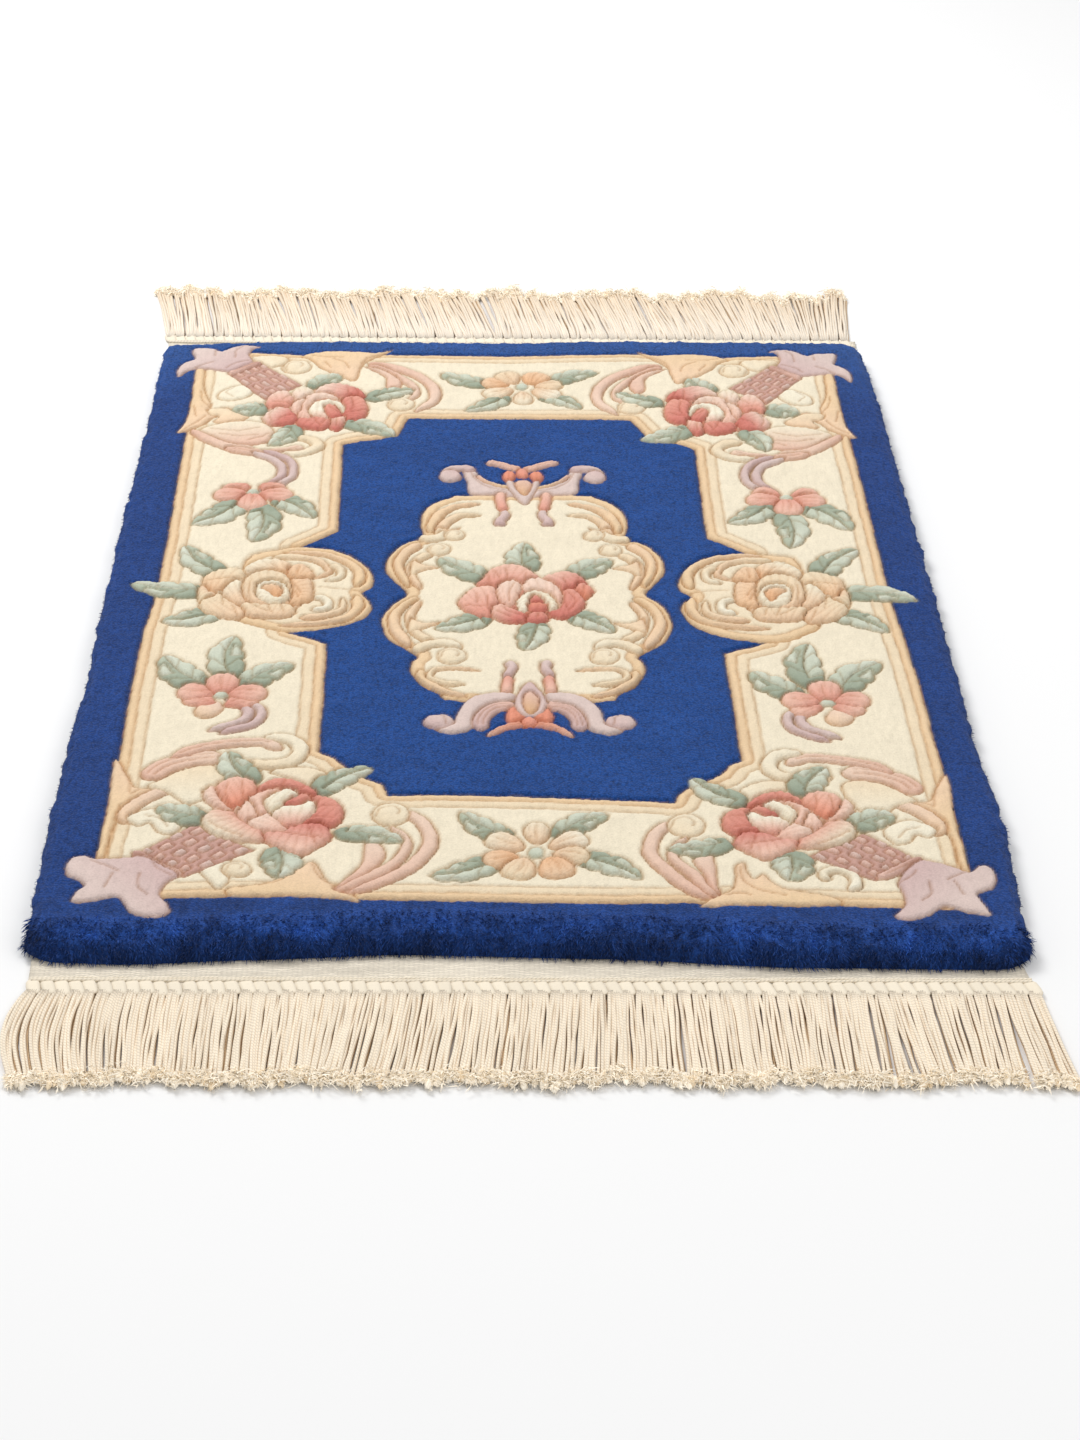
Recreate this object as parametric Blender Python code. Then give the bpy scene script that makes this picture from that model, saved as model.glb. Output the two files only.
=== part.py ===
"""A small Chinese rug with a carved wool pile, lying flat.

Lengths in this file are in millimetres, and MM turns them into Blender's metres.
The origin is on the floor under the middle of the pile. +X is to the right and +Y to the back.
"""

import math

import bmesh
import bpy
import numpy as np
from mathutils import Vector
from mathutils.geometry import delaunay_2d_cdt

MM = 0.001

# Driving dimensions
PILE_WIDTH = 610.0
PILE_LENGTH = 915.0
GROUND_THICK = 2.6
GAP = 0.3
PILE_TOP = 16.2
GROOVE_DEPTH = 3.2
GROOVE_REACH = 5.0
CROWN = 1.3
FILL_STEP = 24.0
STRANDS = 140
STRAND_WIDTH = 2.5
STRAND_HEIGHT = 2.5
STRAND_STATIONS = (0.35, 0.7, 1.0)
TIP_THINNING = 0.8
STRIP_DEPTH = 6.0
GROUND_TUCK = 4.0
GROUND_LAST_ROW = 430.0
GROUND_FREE_FRONT = -458.0
GROUND_FREE_BACK = 472.0

# The pile's edges as they lie, bowed by a few millimetres
LEFT_EDGE = {  # distance along the rug: edge
    "y": (-455, -405, -325, -207, -129, -27, 131, 309, 445),
    "x": (-310, -312, -313, -312, -309, -310, -309, -306, -306),
}
RIGHT_EDGE = {
    "y": (-475, -431, -297, -205, -2, 67, 130, 342, 466),
    "x": (307, 312, 316, 312, 312, 312, 311, 310, 306),
}
FRONT_EDGE = {
    "x": (-306, -243, -172, -80, 44, 167, 307),
    "y": (-458, -461, -456, -450, -454, -463, -465),
}
BACK_EDGE = {
    "x": (-301, -188, -30, 94, 289, 304),
    "y": (461, 470, 469, 475, 474, 467),
}

# The pile's rim, from its foot to its top: how far each ring lies inside the edges
RIM_RINGS = (
    # height, side, front, back, corner radius
    {"z": GROUND_THICK + GAP, "side": 2.0, "front": 0.0, "back": 0.0, "corner": 12.0},
    {"z": 8.0, "side": 0.0, "front": 2.5, "back": 2.0, "corner": 14.0},
    {"z": 13.2, "side": 1.5, "front": 10.0, "back": 5.0, "corner": 14.0},
    {"z": PILE_TOP, "side": 7.0, "front": 22.0, "back": 11.0, "corner": 12.0},
)

# The woven ends and the fringes
END_STRIPS = {
    "front": {"edge": -489.0, "left": -306.0, "right": 313.0, "tips": 84.0},
    "back": {"edge": 502.0, "left": -317.0, "right": 309.0, "tips": 96.0},
}

# Border lines that the carving follows
BORDER_OUTER = (
    # The cream border's outer edge, anticlockwise from the front left
    (-276, -405), (0, -410), (284, -416), (283, -160), (278, 0), (278, 250),
    (280, 438), (0, 435), (-274, 437), (-271, 160), (-271, 0), (-276, -160),
)
FIELD_EDGE = (
    # The blue field's edge with its stepped corners
    (-91, -284), (0, -286), (100, -292), (104, -280), (132, -256), (148, -238),
    (147, -90), (146, 92), (147, 252), (130, 262), (104, 270), (97, 306),
    (-90, 306), (-97, 282), (-127, 261), (-142, 254), (-140, 100), (-141, -79),
    (-140, -228), (-120, -250), (-95, -270),
)
MEDALLION_X = 4.5
MEDALLION_HALF = (
    # The right half of the middle medallion, from its back to its front
    (46, 163), (66, 153), (78, 137), (81, 115), (77, 89), (92, 79), (103, 60),
    (105, 38), (99, 20), (89, -2), (100, -22), (107, -47), (100, -74), (80, -95),
    (84, -114), (76, -136), (58, -153), (46, -160),
)
SIDE_MEDALLIONS = (
    # The part of each side medallion that shows on the field
    {"points": ((-174, 73), (-148, 71), (-127, 57), (-114, 38), (-110, 20), (-118, 0),
                (-111, -24), (-118, -44), (-142, -56), (-176, -61), (-205, -48), (-205, 50))},
    {"points": ((178, 65), (158, 64), (139, 55), (125, 37), (119, 15), (127, -5),
                (119, -25), (126, -47), (141, -62), (180, -74), (214, -55), (214, 50))},
)

# One corner group, measured from its rose: out is towards the long edge, away towards the end.
# The sign of out and away turns the group round, and their size stretches it as it was knotted.
CORNERS = (
    {"x": -160, "y": -307, "out": -1.05, "away": -0.91},
    {"x": 172, "y": -318, "out": 0.98, "away": -0.84},
    {"x": -166, "y": 325, "out": -1.0, "away": 0.97},
    {"x": 168, "y": 322, "out": 1.0, "away": 1.0},
)
ROSE_RADIUS = 43.0
CORNER_LEAVES = (
    # tip and foot, then the width
    {"tip": (48, -78), "foot": (19, -34), "width": 24},
    {"tip": (-64, -56), "foot": (-28, -28), "width": 24},
    {"tip": (-80, 34), "foot": (-35, 14), "width": 23},
    {"tip": (-6, 68), "foot": (10, 34), "width": 22},
    {"tip": (80, -6), "foot": (40, 2), "width": 23},
)
CORNER_SHAPES = (
    # name, then its outline
    {"name": "basket", "points": ((50, 15), (14, 43), (56, 80), (84, 58))},
    {"name": "tail", "points": ((58, 84), (52, 131), (66, 126), (87, 118), (99, 127), (114, 120),
                                (111, 99), (124, 83), (123, 61), (107, 72), (84, 62))},
)
CORNER_BANDS = (
    # path, then the width
    {"path": ((-80, -10), (-97, 22), (-92, 56), (-68, 80), (-40, 86)), "width": 21},
    {"path": ((100, -46), (80, -68), (50, -82), (4, -80)), "width": 18},
)
CORNER_BALLS = (
    {"x": 66, "y": -5, "radius": 9},
    {"x": -67, "y": -6, "radius": 10},
    {"x": 26, "y": 68, "radius": 9},
)

# The other flowers and their leaves
END_FLOWERS = ({"x": 5, "y": 366, "away": 1}, {"x": 5, "y": -350, "away": -1})
END_FLOWER_RADIUS = 33.0
END_LEAVES = (
    {"tip": (64, 34), "foot": (26, 10), "width": 24},
    {"tip": (50, -40), "foot": (16, -20), "width": 22},
)
SPRAYS = (
    {"x": -209, "y": 160, "away": -1},
    {"x": 213, "y": 155, "away": -1},
    {"x": -212, "y": -150, "away": 1},
    {"x": 212, "y": -157, "away": 1},
)
SPRAY_RADIUS = 22.0
SPRAY_LEAVES = (
    {"tip": (-46, 52), "foot": (-10, 8), "width": 22},
    {"tip": (5, 80), "foot": (4, 16), "width": 20},
    {"tip": (46, 42), "foot": (12, 8), "width": 22},
)
MIDDLE_ROSES = (
    # The roses of the middle medallion and of the side medallions
    {"x": 4, "y": -2, "radius": 48},
    {"x": -196, "y": 0, "radius": 43},
    {"x": 205, "y": 0, "radius": 43},
)
MIDDLE_LEAVES = (
    {"tip": (5, 80), "foot": (5, 26), "width": 30},
    {"tip": (-62, 55), "foot": (-26, 18), "width": 28},
    {"tip": (72, 53), "foot": (36, 20), "width": 28},
    {"tip": (-63, -56), "foot": (-22, -36), "width": 28},
    {"tip": (69, -60), "foot": (34, -36), "width": 28},
    {"tip": (2, -86), "foot": (10, -44), "width": 28},
    {"tip": (-256, 76), "foot": (-228, 30), "width": 26},
    {"tip": (-294, 22), "foot": (-238, 2), "width": 26},
    {"tip": (-268, -48), "foot": (-226, -34), "width": 26},
    {"tip": (271, 58), "foot": (240, 26), "width": 26},
    {"tip": (300, -10), "foot": (246, -4), "width": 26},
    {"tip": (266, -70), "foot": (228, -36), "width": 26},
)
CREST_ARMS = (
    # The arms at the medallion's back and front, measured from its middle line
    {"path": ((0, 172), (26, 178), (42, 198), (58, 204), (62, 192)), "width": 18},
    {"path": ((0, 172), (-26, 178), (-42, 196), (-56, 200), (-58, 188)), "width": 18},
    {"path": ((0, -170), (34, -160), (42, -192), (56, -203), (63, -186)), "width": 18},
    {"path": ((0, -170), (-34, -160), (-42, -192), (-56, -200), (-61, -184)), "width": 18},
)

# Colours as they look in daylight
COLOURS = {
    "pile": (0.035, 0.075, 0.27, 1.0),
    "foundation": (0.68, 0.62, 0.52, 1.0),
    "fringe_front": (0.80, 0.71, 0.55, 1.0),
    "fringe_back": (0.80, 0.71, 0.55, 1.0),
}


# Helpers for outlines
def left_at(y):
    return np.interp(y, LEFT_EDGE["y"], LEFT_EDGE["x"])


def right_at(y):
    return np.interp(y, RIGHT_EDGE["y"], RIGHT_EDGE["x"])


def front_at(x):
    return np.interp(x, FRONT_EDGE["x"], FRONT_EDGE["y"])


def back_at(x):
    return np.interp(x, BACK_EDGE["x"], BACK_EDGE["y"])


def laid(points):
    """Moves points of a true rectangle onto the rug as it lies, with its bowed edges."""
    points = np.asarray(points, float)
    across = points[:, 0] / PILE_WIDTH + 0.5
    along = points[:, 1] / PILE_LENGTH + 0.5
    front = front_at(points[:, 0])
    y = front + along * (back_at(points[:, 0]) - front)
    left = left_at(y)
    x = left + across * (right_at(y) - left)
    return np.stack([x, y], axis=1)


def rounded_ring(ring, long_steps=38, short_steps=25, corner_steps=4):
    """One ring around the pile, as points on the rug. Every ring has the same number of points."""
    half_x = PILE_WIDTH / 2 - ring["side"]
    front = -PILE_LENGTH / 2 + ring["front"]
    back = PILE_LENGTH / 2 - ring["back"]
    radius = ring["corner"]
    corners = (
        (-half_x + radius, front + radius, 180),
        (half_x - radius, front + radius, 270),
        (half_x - radius, back - radius, 0),
        (-half_x + radius, back - radius, 90),
    )
    points = []
    for index, (x, y, start) in enumerate(corners):
        for step in range(corner_steps + 1):
            angle = math.radians(start + 90 * step / corner_steps)
            points.append((x + radius * math.cos(angle), y + radius * math.sin(angle)))
        following = corners[(index + 1) % 4]
        turn = math.radians(following[2])
        end = (following[0] + radius * math.cos(turn), following[1] + radius * math.sin(turn))
        steps = short_steps if index % 2 == 0 else long_steps
        begin = points[-1]
        for step in range(1, steps):
            share = step / steps
            points.append((begin[0] + share * (end[0] - begin[0]), begin[1] + share * (end[1] - begin[1])))
    return laid(points)


def spaced(points, step):
    """The same closed line with a point about every step."""
    points = np.asarray(points, float)
    out = []
    for start, end in zip(points, np.roll(points, -1, axis=0)):
        count = max(1, round(float(np.linalg.norm(end - start)) / step))
        for index in range(count):
            out.append(start + (end - start) * index / count)
    return np.array(out)


def leaf_outline(tip, foot, width):
    """A pointed leaf."""
    tip, foot = np.array(tip, float), np.array(foot, float)
    side = np.array([foot[1] - tip[1], tip[0] - foot[0]])
    side = side / np.linalg.norm(side) * width / 2
    shares = (0.3, 0.65)
    right = [foot + (tip - foot) * share + side * math.sin(math.pi * share ** 0.8) for share in shares]
    left = [foot + (tip - foot) * share - side * math.sin(math.pi * share ** 0.8) for share in shares]
    return np.array([foot, *right, tip, *reversed(left)])


def rose_outline(x, y, radius, lobes=8):
    """A round flower with a lobed edge."""
    angles = np.arange(2 * lobes) * math.pi / lobes
    reach = np.where(np.arange(2 * lobes) % 2 == 0, radius, radius * 0.88)
    return np.stack([x + reach * np.cos(angles), y + reach * np.sin(angles)], axis=1)


def ball_outline(x, y, radius, steps=6):
    angles = np.arange(steps) * 2 * math.pi / steps
    return np.stack([x + radius * np.cos(angles), y + radius * np.sin(angles)], axis=1)


def band_outline(path, width):
    """A band with a constant width along a path."""
    path = np.asarray(path, float)
    along = np.gradient(path, axis=0)
    along /= np.linalg.norm(along, axis=1)[:, None]
    side = np.stack([-along[:, 1], along[:, 0]], axis=1) * width / 2
    return np.concatenate([path + side, (path - side)[::-1]])


def placed(points, x, y, out, away):
    return np.asarray(points, float) * (out, away) + (x, y)


# The motifs, from the lowest to the topmost
def corner_group(spot):
    """Every motif around one corner rose."""
    shapes = [placed(shape["points"], **spot) for shape in CORNER_SHAPES]
    shapes += [placed(band_outline(band["path"], band["width"]), **spot) for band in CORNER_BANDS]
    shapes += [placed(leaf_outline(leaf["tip"], leaf["foot"], leaf["width"]), **spot) for leaf in CORNER_LEAVES]
    shapes += [placed(ball_outline(ball["x"], ball["y"], ball["radius"]), **spot) for ball in CORNER_BALLS]
    shapes.append(rose_outline(spot["x"], spot["y"], ROSE_RADIUS))
    return shapes


def flower_group(spot, leaves, radius, lobes):
    """A flower with leaves on both sides of it, or as the table lists them."""
    shapes = []
    for leaf in leaves:
        outline = leaf_outline(leaf["tip"], leaf["foot"], leaf["width"])
        shapes.append(outline * (1, spot["away"]) + (spot["x"], spot["y"]))
    shapes.append(rose_outline(spot["x"], spot["y"], radius, lobes))
    return shapes


def motifs():
    """Outlines with the height of their crown, in the order in which they cover each other."""
    half = np.array(MEDALLION_HALF, float)
    medallion = np.concatenate([half, (half * (-1, 1))[::-1]]) + (MEDALLION_X, 0)
    grounds = [spaced(BORDER_OUTER, 24), spaced(FIELD_EDGE, 24), medallion]
    grounds += [spaced(side["points"], 16) for side in SIDE_MEDALLIONS]
    raised = []
    for spot in CORNERS:
        raised += corner_group(spot)
    both_sides = [
        {**leaf, "tip": (turn * leaf["tip"][0], leaf["tip"][1]), "foot": (turn * leaf["foot"][0], leaf["foot"][1])}
        for leaf in END_LEAVES
        for turn in (-1, 1)
    ]
    for spot in END_FLOWERS:
        raised += flower_group(spot, both_sides, END_FLOWER_RADIUS, 7)
    for spot in SPRAYS:
        raised += flower_group(spot, SPRAY_LEAVES, SPRAY_RADIUS, 5)
    for arm in CREST_ARMS:
        raised.append(band_outline(arm["path"], arm["width"]) + (MEDALLION_X, 0))
    raised += [leaf_outline(leaf["tip"], leaf["foot"], leaf["width"]) for leaf in MIDDLE_LEAVES]
    raised += [rose_outline(**rose) for rose in MIDDLE_ROSES]
    return [(shape, 0.0) for shape in grounds] + [(shape, CROWN) for shape in raised]


# The carved surface
def outline_distance(points, outline):
    """Signed distance from each point to a closed outline, negative inside it."""
    starts = outline
    ends = np.roll(outline, -1, axis=0)
    nearest = np.full(len(points), np.inf)
    inside = np.zeros(len(points), bool)
    for start, end in zip(starts, ends):
        run = end - start
        share = np.clip(((points - start) @ run) / max(run @ run, 1e-9), 0, 1)
        away = points - start - share[:, None] * run
        nearest = np.minimum(nearest, (away ** 2).sum(axis=1))
        crosses = (start[1] > points[:, 1]) != (end[1] > points[:, 1])
        reach = start[0] + (points[:, 1] - start[1]) * run[0] / (run[1] if run[1] else 1e-9)
        inside ^= crosses & (points[:, 0] < reach)
    return np.where(inside, -1, 1) * np.sqrt(nearest)


def carved_height(points, shapes):
    """The pile's height: full height, less a groove along each outline that shows, plus the crowns."""
    groove = np.full(len(points), np.inf)
    crown = np.zeros(len(points))
    for outline, rise in shapes:
        distance = outline_distance(points, outline)
        within = distance < 0
        groove = np.where(within, -distance, np.minimum(groove, distance))
        crown = np.where(within, rise, crown)
    full = np.clip(groove / GROOVE_REACH, 0, 1)
    rounded = full * full * (3 - 2 * full)
    return PILE_TOP - GROOVE_DEPTH * (1 - rounded) + crown * rounded


def shown(points, shapes, level, margin):
    """Which points of outline number level aren't covered by a later outline."""
    clear = np.ones(len(points), bool)
    for outline, _ in shapes[level + 1:]:
        clear &= outline_distance(points, outline) > margin
    return clear


def surface_points(shapes, rim):
    """Places for the carved surface's vertices, and the edges along its rim and its grooves."""
    points = [tuple(p) for p in rim]
    edges = [(i, (i + 1) % len(rim)) for i in range(len(rim))]
    shoulders = []
    for level, (outline, _) in enumerate(shapes):
        clear = shown(outline, shapes, level, 1.5) & (outline_distance(outline, rim) < -GAP * 5)
        along = np.roll(outline, -1, axis=0) - np.roll(outline, 1, axis=0)
        side = np.stack([along[:, 1], -along[:, 0]], axis=1)
        side *= GROOVE_REACH / np.linalg.norm(side, axis=1)[:, None]
        number = {}
        for index in np.flatnonzero(clear):
            number[index] = len(points)
            points.append(tuple(outline[index]))
            shoulders.extend((outline[index] + side[index], outline[index] - side[index]))
        for index in number:
            following = (index + 1) % len(outline)
            if following in number:
                edges.append((number[index], number[following]))
    return points, edges, shoulders


def add_where_free(points, extra, rim, apart):
    """Adds the extra places that lie inside the rim and are apart from every point so far."""
    extra = np.asarray(extra, float)
    inside = outline_distance(extra, rim) < -apart
    for place in extra[inside]:
        if ((np.array(points) - place) ** 2).sum(axis=1).min() > apart * apart:
            points.append(tuple(place))


def fill_grid():
    """A staggered grid over the whole pile."""
    rows = np.arange(-PILE_LENGTH / 2, PILE_LENGTH / 2, FILL_STEP * 0.87)
    columns = np.arange(-PILE_WIDTH / 2, PILE_WIDTH / 2, FILL_STEP)
    return [(x + (row % 2) * FILL_STEP / 2, y) for row, y in enumerate(rows) for x in columns]


# Helpers for objects
def material_for(name):
    """A matt yarn material."""
    material = bpy.data.materials.new(name)
    material.use_nodes = True
    shader = material.node_tree.nodes["Principled BSDF"]
    shader.inputs["Base Color"].default_value = COLOURS[name]
    shader.inputs["Roughness"].default_value = 0.92
    shader.inputs["Metallic"].default_value = 0.0
    return material


def object_from(name, build, sharp_degrees):
    """Makes a named object from a bmesh, in metres, with its own material."""
    bmesh.ops.recalc_face_normals(build, faces=build.faces)
    bmesh.ops.scale(build, vec=(MM, MM, MM), verts=build.verts)
    mesh = bpy.data.meshes.new(name)
    build.to_mesh(mesh)
    build.free()
    mesh.shade_smooth()
    mesh.set_sharp_from_angle(angle=math.radians(sharp_degrees))
    mesh.materials.append(material_for(name))
    piece = bpy.data.objects.new(name, mesh)
    bpy.context.scene.collection.objects.link(piece)
    return piece


# The pieces
def make_pile():
    """The pile: a carved top, a rounded rim and a flat foot on the woven ground."""
    build = bmesh.new()
    shapes = motifs()
    rings = [rounded_ring(ring) for ring in RIM_RINGS]
    rim = rings[-1]
    points, edges, shoulders = surface_points(shapes, rim)
    add_where_free(points, shoulders, rim, 0.7 * GROOVE_REACH)
    add_where_free(points, fill_grid(), rim, 0.45 * FILL_STEP)
    flat, _, faces, sources, _, _ = delaunay_2d_cdt(
        [Vector(p) for p in points], edges, [list(range(len(rim)))], 1, 1e-4
    )
    places = np.array([(p.x, p.y) for p in flat])
    heights = carved_height(places, shapes)
    top = [build.verts.new((p[0], p[1], z)) for p, z in zip(places, heights)]
    rim_verts = [None] * len(rim)
    for vert, origin in zip(top, sources):
        for number in origin:
            if number < len(rim):
                rim_verts[number] = vert
                vert.co.z = PILE_TOP
    for face in faces:
        build.faces.new([top[i] for i in face])
    above = rim_verts
    for ring, line in zip(reversed(RIM_RINGS[:-1]), reversed(rings[:-1])):
        below = [build.verts.new((p[0], p[1], ring["z"])) for p in line]
        for index in range(len(line)):
            following = (index + 1) % len(line)
            build.faces.new((above[index], below[index], below[following], above[following]))
        above = below
    build.faces.new(above)
    return object_from("pile", build, 50)


def make_foundation():
    """The woven cotton ground, a flat sheet that shows as a strip past each end of the pile."""
    front, back = END_STRIPS["front"], END_STRIPS["back"]
    y_steps = np.linspace(-GROUND_LAST_ROW, GROUND_LAST_ROW, 12)
    x_steps = np.linspace(-285, 285, 14)
    right = [(front["right"], front["edge"]), (right_at(GROUND_FREE_FRONT), GROUND_FREE_FRONT)]
    right += [(right_at(y) - GROUND_TUCK, y) for y in y_steps]
    right += [(right_at(GROUND_FREE_BACK), GROUND_FREE_BACK), (back["right"], back["edge"])]
    left = [(back["left"], back["edge"]), (left_at(GROUND_FREE_BACK) - GROUND_TUCK, GROUND_FREE_BACK)]
    left += [(left_at(y) + GROUND_TUCK, y) for y in reversed(y_steps)]
    left += [(left_at(GROUND_FREE_FRONT), GROUND_FREE_FRONT), (front["left"], front["edge"])]
    front_row = [(x, front["edge"]) for x in x_steps]
    back_row = [(x, back["edge"]) for x in reversed(x_steps)]
    outline = right + back_row + left + front_row
    build = bmesh.new()
    low = [build.verts.new((x, y, 0.0)) for x, y in outline]
    sheet = build.faces.new(low)
    grown = bmesh.ops.extrude_face_region(build, geom=[sheet])
    lifted = [part for part in grown["geom"] if isinstance(part, bmesh.types.BMVert)]
    bmesh.ops.translate(build, vec=(0, 0, GROUND_THICK), verts=lifted)
    return object_from("foundation", build, 30)


def strand_path(end, number, root_x):
    """How far a strand has drifted sideways at each station along it, and how long it is."""
    from_left = root_x - END_STRIPS[end]["left"]
    from_right = END_STRIPS[end]["right"] - root_x
    wave = 1.3 * math.sin(number * 0.29) + 0.9 * math.sin(number * 0.113 + 1.0)
    if end == "front":
        lean = 9.0 * math.exp(-from_right / 40) + wave
        bow = -9.0 * math.exp(-from_left / 45)
    else:
        lean = wave - 5.0 * math.exp(-from_left / 60) - 4.0 * math.sin(math.pi * from_right / 620)
        bow = 0.0
    length = END_STRIPS[end]["tips"] + 2.5 * math.sin(number * 0.9) + 2.0 * math.sin(number * 0.21)
    drifts = [(share, lean * share ** 1.3 + bow * math.sin(math.pi * share)) for share in STRAND_STATIONS]
    return drifts, length


def make_fringe(end):
    """The knotted heading strip with its strands, which lie level on the floor."""
    sizes = END_STRIPS[end]
    away = -1 if end == "front" else 1
    inner = sizes["edge"] + away * GAP
    outer = inner + away * STRIP_DEPTH
    left, right = sizes["left"] + 1.0, sizes["right"] - 1.0
    pitch = (right - left) / STRANDS
    build = bmesh.new()
    low, high = [], []
    for number in range(STRANDS):
        middle = left + pitch * (number + 0.5)
        low += [build.verts.new((middle + side * STRAND_WIDTH / 2, outer, 0.0)) for side in (-1, 1)]
        high.append(build.verts.new((middle, outer, STRAND_HEIGHT)))
    ends = [
        [build.verts.new((x, y, z)) for z in (0.0, GROUND_THICK)]
        for x, y in ((left, outer), (left, inner), (right, inner), (right, outer))
    ]
    build.faces.new([ends[0][0], *low, ends[3][0], ends[2][0], ends[1][0]])
    build.faces.new([ends[1][1], ends[2][1], ends[3][1], *reversed(high), ends[0][1]])
    for first, second in ((0, 1), (1, 2), (2, 3)):
        build.faces.new([ends[first][0], ends[second][0], ends[second][1], ends[first][1]])
    build.faces.new([ends[0][0], ends[0][1], high[0], low[0]])
    build.faces.new([low[-1], high[-1], ends[3][1], ends[3][0]])
    for number in range(STRANDS - 1):
        a, b = low[2 * number + 1], low[2 * number + 2]
        build.faces.new([a, high[number], high[number + 1], b])
    for number in range(STRANDS):
        section = [low[2 * number], low[2 * number + 1], high[number]]
        root = (section[0].co.x + section[1].co.x) / 2
        drifts, length = strand_path(end, number, root)
        for share, drift in drifts:
            y = outer + away * length * share
            x = root + drift
            half = STRAND_WIDTH / 2
            height = STRAND_HEIGHT * (TIP_THINNING if share == 1.0 else 1.0)
            ring = [build.verts.new(p) for p in ((x - half, y, 0.0), (x + half, y, 0.0), (x, y, height))]
            for index in range(3):
                following = (index + 1) % 3
                build.faces.new([section[index], section[following], ring[following], ring[index]])
            section = ring
        build.faces.new(section)
    return object_from("fringe_" + end, build, 40)


def main():
    for old in list(bpy.data.objects):
        bpy.data.objects.remove(old, do_unlink=True)
    make_pile()
    make_foundation()
    make_fringe("front")
    make_fringe("back")


main()
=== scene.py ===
# %% [markdown]
# # A small carved Chinese rug
# This script dresses the plain solids of a wool rug that lies flat on the floor. The real rug is knotted:
# tufts of dyed wool are tied to cotton warps, the pile is cut level, and a carver then clips a groove along
# every outline, so that the flowers stand out like low relief. At both ends the cotton ground runs on as a
# flat-woven strip, and its warps hang out as a long fringe.
# Lengths are in millimetres until a mesh is made. The origin is on the floor under the middle of the pile.

# %% Imports and the frame
import math

import bpy
import numpy as np
from mathutils import Matrix, Vector


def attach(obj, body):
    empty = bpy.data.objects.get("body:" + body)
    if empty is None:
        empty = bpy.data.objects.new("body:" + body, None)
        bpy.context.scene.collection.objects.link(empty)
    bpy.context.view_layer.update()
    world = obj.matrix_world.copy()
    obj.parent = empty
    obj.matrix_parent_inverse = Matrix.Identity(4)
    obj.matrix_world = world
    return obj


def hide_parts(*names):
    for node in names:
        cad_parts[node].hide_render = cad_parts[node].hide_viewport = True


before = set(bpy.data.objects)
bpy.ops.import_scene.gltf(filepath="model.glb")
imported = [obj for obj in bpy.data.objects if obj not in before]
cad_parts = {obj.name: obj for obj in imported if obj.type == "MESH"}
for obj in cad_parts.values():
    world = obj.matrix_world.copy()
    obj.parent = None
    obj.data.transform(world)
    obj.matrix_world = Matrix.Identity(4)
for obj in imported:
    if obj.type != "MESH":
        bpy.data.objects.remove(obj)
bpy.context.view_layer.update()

MM = 0.001
print("nodes:", sorted(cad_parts))

# %% [markdown]
# ## The rug's sizes
# The knotted part is two feet by three. It lies a little bowed, as a small hand-made rug does, so each edge
# is a short table of measured places, and the rest of the script bends its straight lines
# along these tables.

# %% Sizes
PILE_WIDTH = 610.0
PILE_LENGTH = 915.0
PILE_FOOT = 2.9
PILE_TOP = 16.2
RUG_EDGES = {
    # Distance along the edge, then where the edge lies
    "left": ((-455, -405, -325, -207, -129, -27, 131, 309, 445),
             (-310, -312, -313, -312, -309, -310, -309, -306, -306)),
    "right": ((-475, -431, -297, -205, -2, 67, 130, 342, 466),
              (307, 312, 316, 312, 312, 312, 311, 310, 306)),
    "front": ((-306, -243, -172, -80, 44, 167, 307), (-458, -461, -456, -450, -454, -463, -465)),
    "back": ((-301, -188, -30, 94, 289, 304), (461, 470, 469, 475, 474, 467)),
}


def edge_at(side, along):
    """Where an edge of the pile lies. The cosine steps keep the bowed line free of corners."""
    places, values = RUG_EDGES[side]
    index = np.clip(np.searchsorted(places, along) - 1, 0, len(places) - 2)
    places, values = np.asarray(places, float), np.asarray(values, float)
    share = np.clip((along - places[index]) / (places[index + 1] - places[index]), 0, 1)
    soft = 0.5 - 0.5 * np.cos(np.pi * share)
    return values[index] + (values[index + 1] - values[index]) * (0.5 * share + 0.5 * soft)


def laid(points):
    """Moves points of a true rectangle onto the rug as it lies."""
    points = np.asarray(points, float)
    across = points[:, 0] / PILE_WIDTH + 0.5
    along = points[:, 1] / PILE_LENGTH + 0.5
    front = edge_at("front", points[:, 0])
    y = front + along * (edge_at("back", points[:, 0]) - front)
    left = edge_at("left", y)
    return np.stack([left + across * (edge_at("right", y) - left), y], axis=1)


print("corner of the pile as it lies:", laid([(-PILE_WIDTH / 2, -PILE_LENGTH / 2)]).round(1))

# %% [markdown]
# ## Yarn colours
# The dyer had two dozen soft shades. Each is written here as the colour that the eye sees, and one
# function turns it into the linear light that Blender mixes.

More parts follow.
